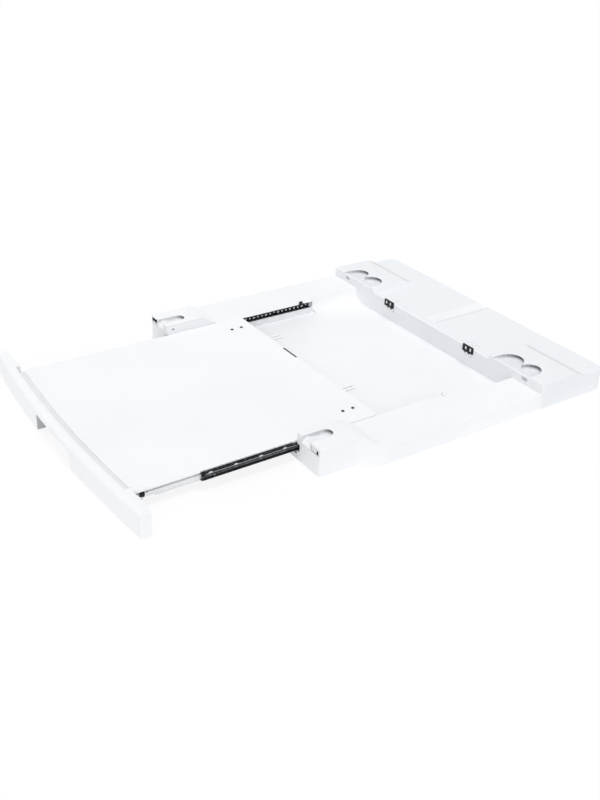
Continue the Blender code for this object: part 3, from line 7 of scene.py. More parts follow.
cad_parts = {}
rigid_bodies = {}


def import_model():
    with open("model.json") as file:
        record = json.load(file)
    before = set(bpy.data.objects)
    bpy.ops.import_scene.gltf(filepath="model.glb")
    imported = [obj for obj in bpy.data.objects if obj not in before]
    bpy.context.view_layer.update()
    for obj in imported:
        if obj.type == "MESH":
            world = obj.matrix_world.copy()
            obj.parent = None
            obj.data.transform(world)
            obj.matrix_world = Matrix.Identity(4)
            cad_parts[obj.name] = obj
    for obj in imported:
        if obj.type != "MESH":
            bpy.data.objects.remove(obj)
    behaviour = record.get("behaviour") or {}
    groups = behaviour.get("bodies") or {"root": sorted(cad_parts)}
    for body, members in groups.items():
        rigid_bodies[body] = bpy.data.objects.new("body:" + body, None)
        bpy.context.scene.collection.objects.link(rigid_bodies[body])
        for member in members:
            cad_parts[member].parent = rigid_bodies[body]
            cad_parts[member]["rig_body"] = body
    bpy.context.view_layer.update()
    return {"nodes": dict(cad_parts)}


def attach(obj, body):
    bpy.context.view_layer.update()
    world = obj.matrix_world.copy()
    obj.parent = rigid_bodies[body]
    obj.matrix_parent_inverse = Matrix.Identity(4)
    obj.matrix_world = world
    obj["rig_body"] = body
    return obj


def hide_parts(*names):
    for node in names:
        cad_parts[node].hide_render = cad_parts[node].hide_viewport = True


# Looks for a stacking kit: white moulded tray, pull-out shelf, black and zinc slides.
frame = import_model()
nodes = frame["nodes"]
print("kit loaded:", len(nodes), "parts")

mm = 0.001
sideNames = {"left": -1, "right": 1}
frameFront = -0.144


def newGroup(name, inputs, outputs):
    group = bpy.data.node_groups.new(name, "ShaderNodeTree")
    for label, kind, value in inputs:
        socket = group.interface.new_socket(name=label, in_out="INPUT", socket_type=kind)
        socket.default_value = value
    for label, kind in outputs:
        group.interface.new_socket(name=label, in_out="OUTPUT", socket_type=kind)
    start = group.nodes.new("NodeGroupInput")
    end = group.nodes.new("NodeGroupOutput")
    return group, start, end


def addNode(tree, kind, **values):
    node = tree.nodes.new(kind)
    for key, value in values.items():
        setattr(node, key, value)
    return node


def setInputs(node, **values):
    for key, value in values.items():
        node.inputs[key].default_value = value
    return node


def join(tree, start, output, end, entry):
    tree.links.new(start.outputs[output], end.inputs[entry])


def buildMouldGrain():
    # fine spark-eroded grain plus slight sink marks, as a height for a Bump node
    group, start, end = newGroup("mouldGrain",
                                 [("Scale", "NodeSocketFloat", 1400.0), ("Sink", "NodeSocketFloat", 0.4)],
                                 [("Height", "NodeSocketFloat"), ("Grain", "NodeSocketFloat")])
    coords = addNode(group, "ShaderNodeTexCoord")
    fine = setInputs(addNode(group, "ShaderNodeTexNoise"), Detail=3.0, Roughness=0.6)
    broad = setInputs(addNode(group, "ShaderNodeTexNoise"), Scale=9.0, Detail=2.0)
    mix = addNode(group, "ShaderNodeMath", operation="MULTIPLY_ADD")
    join(group, coords, "Object", fine, "Vector")
    join(group, coords, "Object", broad, "Vector")
    join(group, start, "Scale", fine, "Scale")
    join(group, broad, "Fac", mix, 0)
    join(group, start, "Sink", mix, 1)
    join(group, fine, "Fac", mix, 2)
    join(group, mix, 0, end, "Height")
    join(group, fine, "Fac", end, "Grain")
    return group


def buildToneDrift():
    # a base colour that drifts a little from place to place
    group, start, end = newGroup("toneDrift",
                                 [("Color", "NodeSocketColor", (0.9, 0.9, 0.9, 1)),
                                  ("Second", "NodeSocketColor", (0.88, 0.88, 0.88, 1)),
                                  ("Scale", "NodeSocketFloat", 6.0)],
                                 [("Color", "NodeSocketColor")])
    coords = addNode(group, "ShaderNodeTexCoord")
    cloud = setInputs(addNode(group, "ShaderNodeTexNoise"), Detail=4.0, Roughness=0.55)
    ramp = addNode(group, "ShaderNodeMapRange", interpolation_type="SMOOTHSTEP")
    setInputs(ramp, **{"From Min": 0.35, "From Max": 0.7})
    mix = addNode(group, "ShaderNodeMix", data_type="RGBA")
    join(group, coords, "Object", cloud, "Vector")
    join(group, start, "Scale", cloud, "Scale")
    join(group, cloud, "Fac", ramp, "Value")
    join(group, ramp, "Result", mix, "Factor")
    join(group, start, "Color", mix, "A")
    join(group, start, "Second", mix, "B")
    join(group, mix, "Result", end, "Color")
    return group


def buildEdgeWear():
    # mask of worn outer edges, broken up by noise
    group, start, end = newGroup("edgeWear",
                                 [("Width", "NodeSocketFloat", 0.52), ("Scale", "NodeSocketFloat", 260.0)],
                                 [("Mask", "NodeSocketFloat")])
    geometry = addNode(group, "ShaderNodeNewGeometry")
    coords = addNode(group, "ShaderNodeTexCoord")
    patches = setInputs(addNode(group, "ShaderNodeTexNoise"), Detail=3.0)
    edge = setInputs(addNode(group, "ShaderNodeMapRange"), **{"From Max": 0.62})
    cut = setInputs(addNode(group, "ShaderNodeMapRange"), **{"From Min": 0.48, "From Max": 0.62})
    product = addNode(group, "ShaderNodeMath", operation="MULTIPLY")
    join(group, coords, "Object", patches, "Vector")
    join(group, start, "Scale", patches, "Scale")
    join(group, start, "Width", edge, "From Min")
    join(group, geometry, "Pointiness", edge, "Value")
    join(group, patches, "Fac", cut, "Value")
    join(group, edge, "Result", product, 0)
    join(group, cut, "Result", product, 1)
    join(group, product, 0, end, "Mask")
    return group


def buildRolledLines():
    # lines left by rolling and sliding, drawn along the length of a steel strip
    group, start, end = newGroup("rolledLines",
                                 [("Scale", "NodeSocketFloat", 900.0), ("Stretch", "NodeSocketFloat", 0.02)],
                                 [("Lines", "NodeSocketFloat")])
    coords = addNode(group, "ShaderNodeTexCoord")
    squash = addNode(group, "ShaderNodeVectorMath", operation="MULTIPLY")
    stretch = setInputs(addNode(group, "ShaderNodeCombineXYZ"), X=1, Z=1)
    lines = setInputs(addNode(group, "ShaderNodeTexNoise"), Detail=4.0, Roughness=0.7)
    join(group, coords, "Object", squash, 0)
    join(group, start, "Stretch", stretch, "Y")
    join(group, stretch, "Vector", squash, 1)
    join(group, squash, "Vector", lines, "Vector")
    join(group, start, "Scale", lines, "Scale")
    join(group, lines, "Fac", end, "Lines")
    return group


mouldGrain = buildMouldGrain()
toneDrift = buildToneDrift()
edgeWear = buildEdgeWear()
rolledLines = buildRolledLines()
print("shader groups built")

# moulded plastics and the rubber: grain is the texture's scale, rub how far worn edges are polished
finishes = {
    "trayWhite": {"color": (0.90, 0.91, 0.925), "second": (0.875, 0.887, 0.905), "roughness": 0.44,
                  "grain": 1500.0, "bump": 0.05, "specular": 0.4},
    "shelfWhite": {"color": (0.905, 0.915, 0.93), "second": (0.885, 0.897, 0.915), "roughness": 0.50,
                   "grain": 1100.0, "bump": 0.08, "specular": 0.35},
    "fasciaWhite": {"color": (0.90, 0.91, 0.925), "second": (0.885, 0.895, 0.912), "roughness": 0.38,
                    "grain": 1800.0, "bump": 0.02, "specular": 0.3, "rub": 0.0},
    "linerWhite": {"color": (0.86, 0.87, 0.88), "second": (0.80, 0.81, 0.82), "roughness": 0.45,
                   "grain": 2200.0, "bump": 0.03, "specular": 0.4},
    # a greyer white that paints the shade of the gap behind the fascia
    "ledgeShadeGrey": {"color": (0.80, 0.815, 0.83), "second": (0.77, 0.785, 0.80), "roughness": 0.5,
                   "grain": 1500.0, "bump": 0.03, "specular": 0.3},
    # a grey that paints the shade line beside the platform's groove
    "creaseShadeGrey": {"color": (0.71, 0.727, 0.75), "second": (0.69, 0.705, 0.73), "roughness": 0.5,
                    "grain": 1500.0, "bump": 0.03, "specular": 0.3},
    "clipGrey": {"color": (0.62, 0.63, 0.64), "second": (0.52, 0.53, 0.54), "roughness": 0.42,
                 "grain": 2600.0, "bump": 0.08, "specular": 0.4},
    "clipBlack": {"color": (0.012, 0.012, 0.014), "second": (0.02, 0.02, 0.022), "roughness": 0.5,
                  "grain": 2600.0, "bump": 0.12, "specular": 0.2},
    "padRubber": {"color": (0.045, 0.045, 0.046), "second": (0.065, 0.064, 0.062), "roughness": 0.86,
                  "grain": 900.0, "bump": 0.25, "specular": 0.2},
}


def newMaterial(name):
    material = bpy.data.materials.new(name)
    material.use_nodes = True
    tree = material.node_tree
    return material, tree, tree.nodes["Principled BSDF"]


# metres: how the walls' painted shade and the painted shade on the raised rear part are laid
wallTones = {"shade": (0.05, 0.06, 0.06), "rear": (0.79, 0.81, 0.84), "rearY": (0.2975, 0.3030),
             "topZ": (0.0390, 0.0394), "belowTop": 0.4, "outerX": (0.265, 0.275)}


def fadeOver(tree, span, **values):
    # 0 before a span and 1 behind it, or the To values given
    fade = addNode(tree, "ShaderNodeMapRange")
    return setInputs(fade, **{"From Min": span[0], "From Max": span[1]}, **values)


def buildWallShade():
    # greys the marked walls, which sit in deep shade, fading from their top down
    group, start, end = newGroup("wallShade",
                                 [("Color", "NodeSocketColor", (0.9, 0.9, 0.9, 1)),
                                  ("Amount", "NodeSocketFloat", 0.8),
                                  ("Top", "NodeSocketFloat", 0.0470), ("Bottom", "NodeSocketFloat", 0.0405),
                                  ("RearShade", "NodeSocketFloat", 0.0)],
                                 [("Color", "NodeSocketColor")])
    coords = addNode(group, "ShaderNodeTexCoord")
    split = addNode(group, "ShaderNodeSeparateXYZ")
    walls = addNode(group, "ShaderNodeAttribute", attribute_name="shadedWall")
    fade = addNode(group, "ShaderNodeMapRange", interpolation_type="SMOOTHSTEP")
    amount = addNode(group, "ShaderNodeMath", operation="MULTIPLY")
    both = addNode(group, "ShaderNodeMath", operation="MULTIPLY")
    mix = addNode(group, "ShaderNodeMix", data_type="RGBA")
    setInputs(mix, B=(*wallTones["shade"], 1))
    # the raised part behind the bay gets a painted shade: a slightly darker white, for light that falls off
    # toward the rear
    behind = fadeOver(group, wallTones["rearY"])
    rearShadeAmount = addNode(group, "ShaderNodeMath", operation="MULTIPLY")
    rearShadedColor = setInputs(addNode(group, "ShaderNodeMix", data_type="RGBA"), B=(*wallTones["rear"], 1))
    # this painted shade lies mostly on its top and its outer sides, so the groove and the bay's rear wall
    # stay whiter
    above = fadeOver(group, wallTones["topZ"], **{"To Min": wallTones["belowTop"]})
    outer = fadeOver(group, wallTones["outerX"])
    either = addNode(group, "ShaderNodeMath", operation="MAXIMUM")
    where = addNode(group, "ShaderNodeMath", operation="MULTIPLY")
    join(group, split, "Z", above, "Value")
    join(group, split, "X", outer, "Value")
    join(group, above, "Result", either, 0)
    join(group, outer, "Result", either, 1)
    join(group, split, "Y", behind, "Value")
    join(group, behind, "Result", where, 0)
    join(group, either, 0, where, 1)
    join(group, where, 0, rearShadeAmount, 0)
    join(group, start, "RearShade", rearShadeAmount, 1)
    join(group, rearShadeAmount, 0, rearShadedColor, "Factor")
    join(group, start, "Color", rearShadedColor, "A")
    join(group, coords, "Object", split, 0)
    join(group, split, "Z", fade, "Value")
    join(group, start, "Bottom", fade, "From Min")
    join(group, start, "Top", fade, "From Max")
    join(group, fade, "Result", amount, 0)
    join(group, start, "Amount", amount, 1)
    join(group, amount, 0, both, 0)
    join(group, walls, "Fac", both, 1)
    join(group, both, 0, mix, "Factor")
    join(group, rearShadedColor, "Result", mix, "A")
    join(group, mix, "Result", end, "Color")
    return group


wallShade = buildWallShade()
# RearShade sets how much painted shade the tray's raised rear part gets
shadedWalls = {"trayWhite": {"Amount": 0.93, "Top": 0.0452, "Bottom": 0.0405, "RearShade": 0.55},
               "fasciaWhite": {"Amount": 0.52, "Top": 0.001, "Bottom": 0.0}}


moulding = {"toneScale": 5.0, "sink": 0.5, "wearWidth": 0.53, "wearScale": 180.0, "rub": 0.05,
            "grainDepth": 0.0004, "grainSpan": (0.3, 0.7), "smoother": 0.05, "rougher": 0.07}


def mouldedPlastic(name):
    finish = finishes[name]
    material, tree, shader = newMaterial(name)
    tone = addNode(tree, "ShaderNodeGroup", node_tree=toneDrift)
    grain = addNode(tree, "ShaderNodeGroup", node_tree=mouldGrain)
    wear = addNode(tree, "ShaderNodeGroup", node_tree=edgeWear)
    setInputs(tone, Color=(*finish["color"], 1), Second=(*finish["second"], 1), Scale=moulding["toneScale"])
    setInputs(grain, Scale=finish["grain"], Sink=moulding["sink"])
    setInputs(wear, Width=moulding["wearWidth"], Scale=moulding["wearScale"])
    polish = fadeOver(tree, moulding["grainSpan"], **{"To Min": finish["roughness"] - moulding["smoother"],
                                                      "To Max": finish["roughness"] + moulding["rougher"]})
    rubbed = addNode(tree, "ShaderNodeMath", operation="MULTIPLY_ADD")
    rubbed.inputs[1].default_value = -finish.get("rub", moulding["rub"])
    bump = setInputs(addNode(tree, "ShaderNodeBump"), Strength=finish["bump"],
                     Distance=moulding["grainDepth"])
    if name in shadedWalls:
        shade = setInputs(addNode(tree, "ShaderNodeGroup", node_tree=wallShade), **shadedWalls[name])
        join(tree, tone, "Color", shade, "Color")
        join(tree, shade, "Color", shader, "Base Color")
    else:
        join(tree, tone, "Color", shader, "Base Color")
    join(tree, grain, "Grain", polish, "Value")
    join(tree, wear, "Mask", rubbed, 0)
    join(tree, polish, "Result", rubbed, 2)
    join(tree, rubbed, 0, shader, "Roughness")
    join(tree, grain, "Height", bump, "Height")
    join(tree, bump, "Normal", shader, "Normal")
    shader.inputs["Specular IOR Level"].default_value = finish["specular"]
    return material


# bare is the colour of worn edges, worn how much of it shows
steels = {
    "slideBlack": {"color": (0.018, 0.019, 0.022), "bare": (0.30, 0.31, 0.33), "roughness": 0.36,
                   "metallic": 0.55, "worn": 0.8},
    "slideDark": {"color": (0.06, 0.065, 0.07), "bare": (0.40, 0.41, 0.43), "roughness": 0.30,
                  "metallic": 0.75, "worn": 0.9},
    # pale steel of the bumper rings, also the strips that paint highlight streaks on the middle channel
    "paleRingAndHighlight": {"color": (0.70, 0.73, 0.76), "bare": (0.80, 0.82, 0.84), "roughness": 0.42,
                  "metallic": 0.0, "worn": 0.6},
    "zincPale": {"color": (0.80, 0.81, 0.82), "bare": (0.86, 0.86, 0.86), "roughness": 0.42,
                 "metallic": 0.25, "worn": 0.4},
    "screwDark": {"color": (0.03, 0.03, 0.032), "bare": (0.20, 0.20, 0.21), "roughness": 0.40,
                  "metallic": 0.6, "worn": 0.5},
    "zincBright": {"color": (0.62, 0.64, 0.66), "bare": (0.74, 0.75, 0.76), "roughness": 0.30,
                   "metallic": 1.0, "worn": 0.5},
    "screwZinc": {"color": (0.50, 0.51, 0.53), "bare": (0.70, 0.70, 0.70), "roughness": 0.27,
                  "metallic": 1.0, "worn": 0.6},
}


plating = {"lineScale": 900.0, "stretch": 0.02, "wearWidth": 0.54, "wearScale": 320.0, "lineStrength": 0.06,
           "lineDepth": 0.0002, "lineSpan": (0.3, 0.7), "smoother": 0.07, "rougher": 0.1}


def platedSteel(name):
    finish = steels[name]
    material, tree, shader = newMaterial(name)
    lines = addNode(tree, "ShaderNodeGroup", node_tree=rolledLines)
    wear = addNode(tree, "ShaderNodeGroup", node_tree=edgeWear)
    setInputs(lines, Scale=plating["lineScale"], Stretch=plating["stretch"])
    setInputs(wear, Width=plating["wearWidth"], Scale=plating["wearScale"])
    amount = addNode(tree, "ShaderNodeMath", operation="MULTIPLY")
    amount.inputs[1].default_value = finish["worn"]
    mix = addNode(tree, "ShaderNodeMix", data_type="RGBA")
    setInputs(mix, A=(*finish["color"], 1), B=(*finish["bare"], 1))
    streaks = fadeOver(tree, plating["lineSpan"], **{"To Min": finish["roughness"] - plating["smoother"],
                                                     "To Max": finish["roughness"] + plating["rougher"]})
    bump = setInputs(addNode(tree, "ShaderNodeBump"), Strength=plating["lineStrength"],
                     Distance=plating["lineDepth"])
    join(tree, wear, "Mask", amount, 0)
    join(tree, amount, 0, mix, "Factor")
    join(tree, mix, "Result", shader, "Base Color")
    join(tree, lines, "Lines", streaks, "Value")
    join(tree, streaks, "Result", shader, "Roughness")
    join(tree, lines, "Lines", bump, "Height")
    join(tree, bump, "Normal", shader, "Normal")
    shader.inputs["Metallic"].default_value = finish["metallic"]
    return material


looks = {name: mouldedPlastic(name) for name in finishes}
looks.update({name: platedSteel(name) for name in steels})
print("materials built:", len(looks))

# edge = width of the rounded edges in mm, steps = segments across them
shells = {
    "base_frame": {"look": "trayWhite", "slot": "white_body", "edge": 0.35},
    "shelf_panel": {"look": "shelfWhite", "slot": "white_body", "edge": 0.3},
    "fascia": {"look": "fasciaWhite", "slot": "white_gloss", "edge": 0.35},
    "striker_left": {"look": "trayWhite", "slot": "white_body", "edge": 0.4},
    "striker_right": {"look": "trayWhite", "slot": "white_body", "edge": 0.4},
}
smallParts = {
    "slide_lug_left": {"look": "clipBlack", "slot": "black_plastic", "edge": 0.3},
    "slide_lug_right": {"look": "trayWhite", "slot": "black_plastic", "edge": 0.3},
    "grip_pad": {"look": "padRubber", "slot": "rubber", "edge": 0.25},
    "slide_cabinet_channel": {"look": "slideBlack", "slot": "black_steel", "edge": 0.22},
    "slide_middle_channel": {"look": "slideBlack", "slot": "black_steel", "edge": 0.22},
    "slide_middle_rail": {"look": "slideDark", "slot": "black_steel", "edge": 0.18},
    "slide_shelf_rail": {"look": "zincPale", "slot": "zinc_steel", "edge": 0.18},
    "side_angle": {"look": "zincPale", "slot": "zinc_steel", "edge": 0.25},
}
merging = {"doubles": 0.004 * mm, "flat": math.radians(0.05), "sharp": math.radians(35)}


def mergedCopy(nodeName, reshape=None):
    # a copy of a part with its loose triangles joined into whole faces
    data = nodes[nodeName].data.copy()
    mesh = bmesh.new()
    mesh.from_mesh(data)
    bmesh.ops.remove_doubles(mesh, verts=mesh.verts, dist=merging["doubles"])
    bmesh.ops.dissolve_limit(mesh, angle_limit=merging["flat"], verts=mesh.verts, edges=mesh.edges)
    if reshape:
        for vert in mesh.verts:
            reshape(vert.co)
    bmesh.ops.recalc_face_normals(mesh, faces=mesh.faces)
    for face in mesh.faces:
        face.smooth = True
    mesh.to_mesh(data)
    mesh.free()
    data.set_sharp_from_angle(angle=merging["sharp"])
    piece = bpy.data.objects.new(nodeName + "_shell", data)
    bpy.context.scene.collection.objects.link(piece)
    return piece


def roundEdges(piece, edge, steps):
    if edge:
        bevel = piece.modifiers.new("edges", "BEVEL")
        bevel.width = edge * mm
        bevel.segments = steps
        bevel.limit_method = "ANGLE"
        bevel.angle_limit = merging["sharp"]
        bevel.use_clamp_overlap = True
    even = piece.modifiers.new("evenNormals", "WEIGHTED_NORMAL")
    even.weight = 80
    even.keep_sharp = not edge


def roundedShell(nodeName, look, slot, edge, steps=2):
    piece = mergedCopy(nodeName, reshapes.get(nodeName))
    piece.data.materials.clear()
    piece.data.materials.append(looks[look])
    roundEdges(piece, edge, steps)
    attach(piece, nodes[nodeName]["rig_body"])
    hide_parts(nodeName)
    return piece


# spans in mm of the narrow slot in the shelf's rear edge, which sits a little nearer the middle
slotShift = {"x": (-80.5, -41.5), "y": (154.8, 157.9), "by": 19.5}
# everything in front of this place on a middle member moves forward
channelReach = {"front": -150.0, "longer": 4.5}


def moveSlot(point):
    x, y = point.x / mm, (point.y - frameFront) / mm
    if slotShift["x"][0] < x < slotShift["x"][1] and slotShift["y"][0] < y < slotShift["y"][1]:
        point.x += slotShift["by"] * mm


def lengthenChannel(point):
    if (point.y - frameFront) / mm < channelReach["front"]:
        point.y -= channelReach["longer"] * mm


reshapes = {"shelf_panel": moveSlot}
for sideName in sideNames:
    reshapes["slide_middle_channel_" + sideName] = lengthenChannel
    reshapes["slide_middle_rail_" + sideName] = lengthenChannel
for nodeName, style in shells.items():
    roundedShell(nodeName, **style)

# walls in deep shade: spans of |X|, Y and Z in mm, and the shade when they face the front or the side
pockets = ({"x": (214, 252), "y": (1.5, 50), "z": (39.5, 48.4), "front": 1.0, "side": 0.25},
           {"x": (170, 271), "y": (442.5, 526), "z": (39.5, 48.4), "front": 1.0, "side": 0.25})
notchEnds = ({"x": (64, 67), "y": (-320, -290), "z": (1, 31), "front": 0.0, "side": 1.0},)
rearRamps = {"y": (524.5, 547.5), "lean": 0.2, "shade": 0.2}
levelFace = 0.6  # faces whose normal points up more than this are tops or slopes, not walls


def markWalls(pieceName, boxes):
    data = bpy.data.objects[pieceName].data
    mask = data.attributes.new("shadedWall", "FLOAT", "FACE")
    for face in data.polygons:
        if abs(face.normal.z) > levelFace:
            continue
        centre = (abs(face.center.x) / mm, (face.center.y - frameFront) / mm, face.center.z / mm)
        for box in boxes:
            spans = (box["x"], box["y"], box["z"])
            if all(low < value < high for value, (low, high) in zip(centre, spans)):
                facing = max(0.0, -face.normal.y)
                mask.data[face.index].value = box["side"] + (box["front"] - box["side"]) * facing


def markRamps(pieceName):
    # the short slopes behind the rear pads face away from the light and read as soft grey lines
    data = bpy.data.objects[pieceName].data
    mask = data.attributes["shadedWall"]
    for face in data.polygons:
        back = (face.center.y - frameFront) / mm
        leans = face.normal.y > rearRamps["lean"] and face.normal.z > levelFace
        if leans and rearRamps["y"][0] < back < rearRamps["y"][1]:
            mask.data[face.index].value = rearRamps["shade"]


markWalls("base_frame_shell", pockets)
markRamps("base_frame_shell")
markWalls("fascia_shell", notchEnds)
for stem, style in smallParts.items():
    for nodeName in sorted(nodes):
        if nodeName.startswith(stem):
            roundedShell(nodeName, **style)
print("shells rounded")


def newPiece(name, mesh, look, body, edge=0, steps=2):
    bmesh.ops.remove_doubles(mesh, verts=mesh.verts, dist=0.001 * mm)
    bmesh.ops.recalc_face_normals(mesh, faces=mesh.faces)
    for face in mesh.faces:
        face.smooth = True
    data = bpy.data.meshes.new(name)
    mesh.to_mesh(data)
    mesh.free()
    piece = bpy.data.objects.new(name, data)
    bpy.context.scene.collection.objects.link(piece)
    data.materials.append(looks[look])
    roundEdges(piece, edge, steps)
    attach(piece, body)
    return piece


def addBlock(mesh, xSpan, ySpan, zSpan):
    # a block given by its spans in mm, measured from the middle, the tray's front and the floor
    middle = [(a + b) / 2 * mm for a, b in (xSpan, ySpan, zSpan)]
    size = [abs(b - a) * mm for a, b in (xSpan, ySpan, zSpan)]
    place = Matrix.Translation((middle[0], middle[1] + frameFront, middle[2]))
    bmesh.ops.create_cube(mesh, size=1, matrix=place @ Matrix.Diagonal((*size, 1)))


def blockPiece(name, blocks, look, body, edge=0, steps=2, side=1):
    # a piece of several blocks, mirrored to the left half with side = -1
    mesh = bmesh.new()
    for block in blocks:
        addBlock(mesh, [side * value for value in block["x"]], block["y"], block["z"])
    return newPiece(name, mesh, look, body, edge, steps)


discShape = {"sides": 20, "taper": 0.94}


def addDisc(mesh, centre, radius, depth, lengthen):
    # a flat stud facing sideways, or a slot when it is lengthened along the slide
    place = Matrix.Translation((centre[0] * mm, centre[1] * mm + frameFront, centre[2] * mm))
    stretch = Matrix.Diagonal((1, lengthen, 1, 1))
    turn = Matrix.Rotation(math.radians(90), 4, "Y")
    bmesh.ops.create_cone(mesh, cap_ends=True, cap_tris=False, segments=discShape["sides"],
                          radius1=radius * mm, radius2=radius * mm * discShape["taper"], depth=depth * mm,
                          matrix=place @ stretch @ turn)


# lips along the bay's upper edge, beside the shelf
lip = {"x": (212.95, 217.0), "z": (29.3, 30.45), "runs": ((3, 289.5), (302.5, 322)), "edge": 0.35}


def makeLips():
    blocks = [{"x": lip["x"], "y": run, "z": lip["z"]} for run in lip["runs"]]
    for sideName, side in sideNames.items():
        blockPiece("edge_lip_" + sideName, blocks, "trayWhite", "frame", lip["edge"], side=side)


makeLips()

# catches in the bay's rear wall: a black face with two windows, a white body behind it, and a sill
catch = {"span": (102.2, 128.6), "low": 30.4, "high": 43.2, "face": 438.5, "back": 440.9, "barInset": 0.05,
         "windowLow": 34.3, "windowHigh": 40.7, "windowMiddles": (110.7, 122.6), "windowWidth": 4.4}
catchTongue = {"sideLap": 0.2, "endLap": 0.3, "behindFace": 0.7, "beforeBack": 0.1}
catchHousing = ({"x": (103.6, 124.6), "y": (441.0, 463.0), "z": (31.0, 37.0)},
                {"x": (106.0, 121.0), "y": (447.5, 462.0), "z": (36.5, 38.4)})
catchSill = ({"x": (101.7, 105.6), "y": (439.25, 441.2), "z": (23.3, 30.5)},
             {"x": (111.6, 115.2), "y": (439.25, 441.2), "z": (23.3, 30.5)},
             {"x": (121.2, 125.1), "y": (439.25, 441.2), "z": (23.3, 30.5)},
             {"x": (101.7, 125.1), "y": (439.4, 441.0), "z": (23.3, 27.0)},
             {"x": (101.9, 124.9), "y": (440.8, 462.0), "z": (25.2, 27.0)})


def makeCatches():
    half = catch["windowWidth"] / 2
    first, second = catch["windowMiddles"]
    inner, outer = catch["span"]
    posts = ((inner, first - half), (first + half, second - half), (second + half, outer))
    bars = ((catch["low"], catch["windowLow"]), (catch["windowHigh"], catch["high"]))
    depth = (catch["face"], catch["back"])
    barDepth = (catch["face"] + catch["barInset"], catch["back"])
    faceBlocks = [{"x": post, "y": depth, "z": (catch["low"], catch["high"])} for post in posts]
    faceBlocks += [{"x": catch["span"], "y": barDepth, "z": bar} for bar in bars]
    reach = half + catchTongue["sideLap"]
    tongueDepth = (catch["face"] + catchTongue["behindFace"], catch["back"] - catchTongue["beforeBack"])
    tongueHeight = (catch["windowLow"] - catchTongue["endLap"], catch["windowHigh"] + catchTongue["endLap"])
    tongues = [{"x": (middle - reach, middle + reach), "y": tongueDepth, "z": tongueHeight}
               for middle in catch["windowMiddles"]]
    for sideName, side in sideNames.items():
        face = blockPiece("catch_face_" + sideName, faceBlocks, "clipBlack", "frame", 0.3,
                          side=side)
        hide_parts("rear_catch_" + sideName)
        blockPiece("catch_housing_" + sideName, catchHousing, "linerWhite", "frame", 0.4,
                   side=side)
        blockPiece("catch_tongues_" + sideName, tongues, "linerWhite", "frame", 0.4, side=side)
        blockPiece("catch_sill_" + sideName, catchSill, "trayWhite", "frame", 0.3, side=side)


makeCatches()

# lock clips in the front corners: on the right a white tab fills the window but for the latch slot at
# its outer end, on the left it covers the lower half
lockClip = {"edge": 0.3, "tabEdge": 0.6}
lockTabs = {"right": ({"x": (252.9, 266.2), "y": (0.35, 1.95), "z": (36.4, 44.8)},
                      {"x": (265.8, 272.2), "y": (0.35, 1.95), "z": (42.4, 44.8)},
                      {"x": (271.2, 273.6), "y": (0.35, 1.95), "z": (36.4, 44.8)}),
            "left": ({"x": (252.9, 273.6), "y": (0.35, 1.95), "z": (36.2, 38.6)},
                     {"x": (252.9, 255.4), "y": (0.35, 1.95), "z": (38.0, 44.6)})}


def makeLockClips():
    for sideName in sideNames:
        roundedShell("lock_clip_" + sideName, "clipBlack", "black_plastic", lockClip["edge"])
    for sideName, blocks in lockTabs.items():
        blockPiece("lock_tab_" + sideName, blocks, "linerWhite", "frame",
                   lockClip["tabEdge"], 3, sideNames[sideName])


makeLockClips()

# small sockets in the front pads' inner and front walls
padSockets = ({"x": (216.0, 217.3), "y": (11.2, 16.2), "z": (38.4, 42.0), "look": "screwDark"},
              {"x": (222.6, 229.4), "y": (0.06, 0.9), "z": (38.4, 42.2), "look": "clipGrey"})


def makePadSockets():
    for sideName, side in sideNames.items():
        for number, socket in enumerate(padSockets, 1):
            blockPiece("pad_socket_%s_%d" % (sideName, number), [socket], socket["look"],
                       "frame", 0.5, 3, side)


makePadSockets()

# black ends of the shelf rails, each with a wire ring, and white plates behind the pale rail
bumper = {"core": {"x": (209.0, 212.7), "y": (-262.8, -256.2), "z": (19.7, 25.5)},
          "flange": {"x": (205.4, 209.2), "y": (-262.2, -254.6), "z": (17.4, 28.0)},
          "ringRadius": 6.0, "ringWire": 0.55, "ringCentre": (207.4, -261.4, 18.6), "wireSides": 10,
          "ringSteps": 36}
railPlates = ({"x": (208.75, 209.2), "y": (-256.0, -60.0), "z": (16.9, 28.6)},
              {"x": (212.2, 212.75), "y": (-256.0, 63.0), "z": (19.8, 25.4)})


def makeBumpers():
    for sideName, side in sideNames.items():
        block = blockPiece("bumper_block_" + sideName, (bumper["core"], bumper["flange"]), "clipBlack",
                           "shelf", 0.8, 4, side)
        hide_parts("shelf_bumper_" + sideName)
        x, y, z = bumper["ringCentre"]
        mesh = bmesh.new()
        start = Vector((side * x * mm, (y - bumper["ringRadius"]) * mm + frameFront, z * mm))
        wire = bmesh.ops.create_circle(mesh, cap_ends=False, segments=bumper["wireSides"],
                                       radius=bumper["ringWire"] * mm,
                                       matrix=Matrix.Translation(start))["verts"]
        ring = list({edge for vert in wire for edge in vert.link_edges})
        bmesh.ops.spin(mesh, geom=wire + ring, cent=(start.x, y * mm + frameFront, z * mm), axis=(1, 0, 0),
                       angle=math.tau, steps=bumper["ringSteps"], use_merge=True, dvec=(0, 0, 0))
        newPiece("bumper_ring_" + sideName, mesh, "paleRingAndHighlight", "shelf")
        blockPiece("rail_plate_" + sideName, railPlates, "linerWhite", "shelf", 0.1, 1, side)


makeBumpers()

# white studs in the cabinet channel's web, left out at its middle screw, every third one longer
webStuds = {"x": 221.85, "height": 20.4, "first": 163.5, "last": 312.0, "step": 9.3, "count": 17,
            "radius": 2.0, "depth": 0.5, "screw": 237.0, "screwRoom": 4.0, "longer": 1.35, "longEvery": 3}
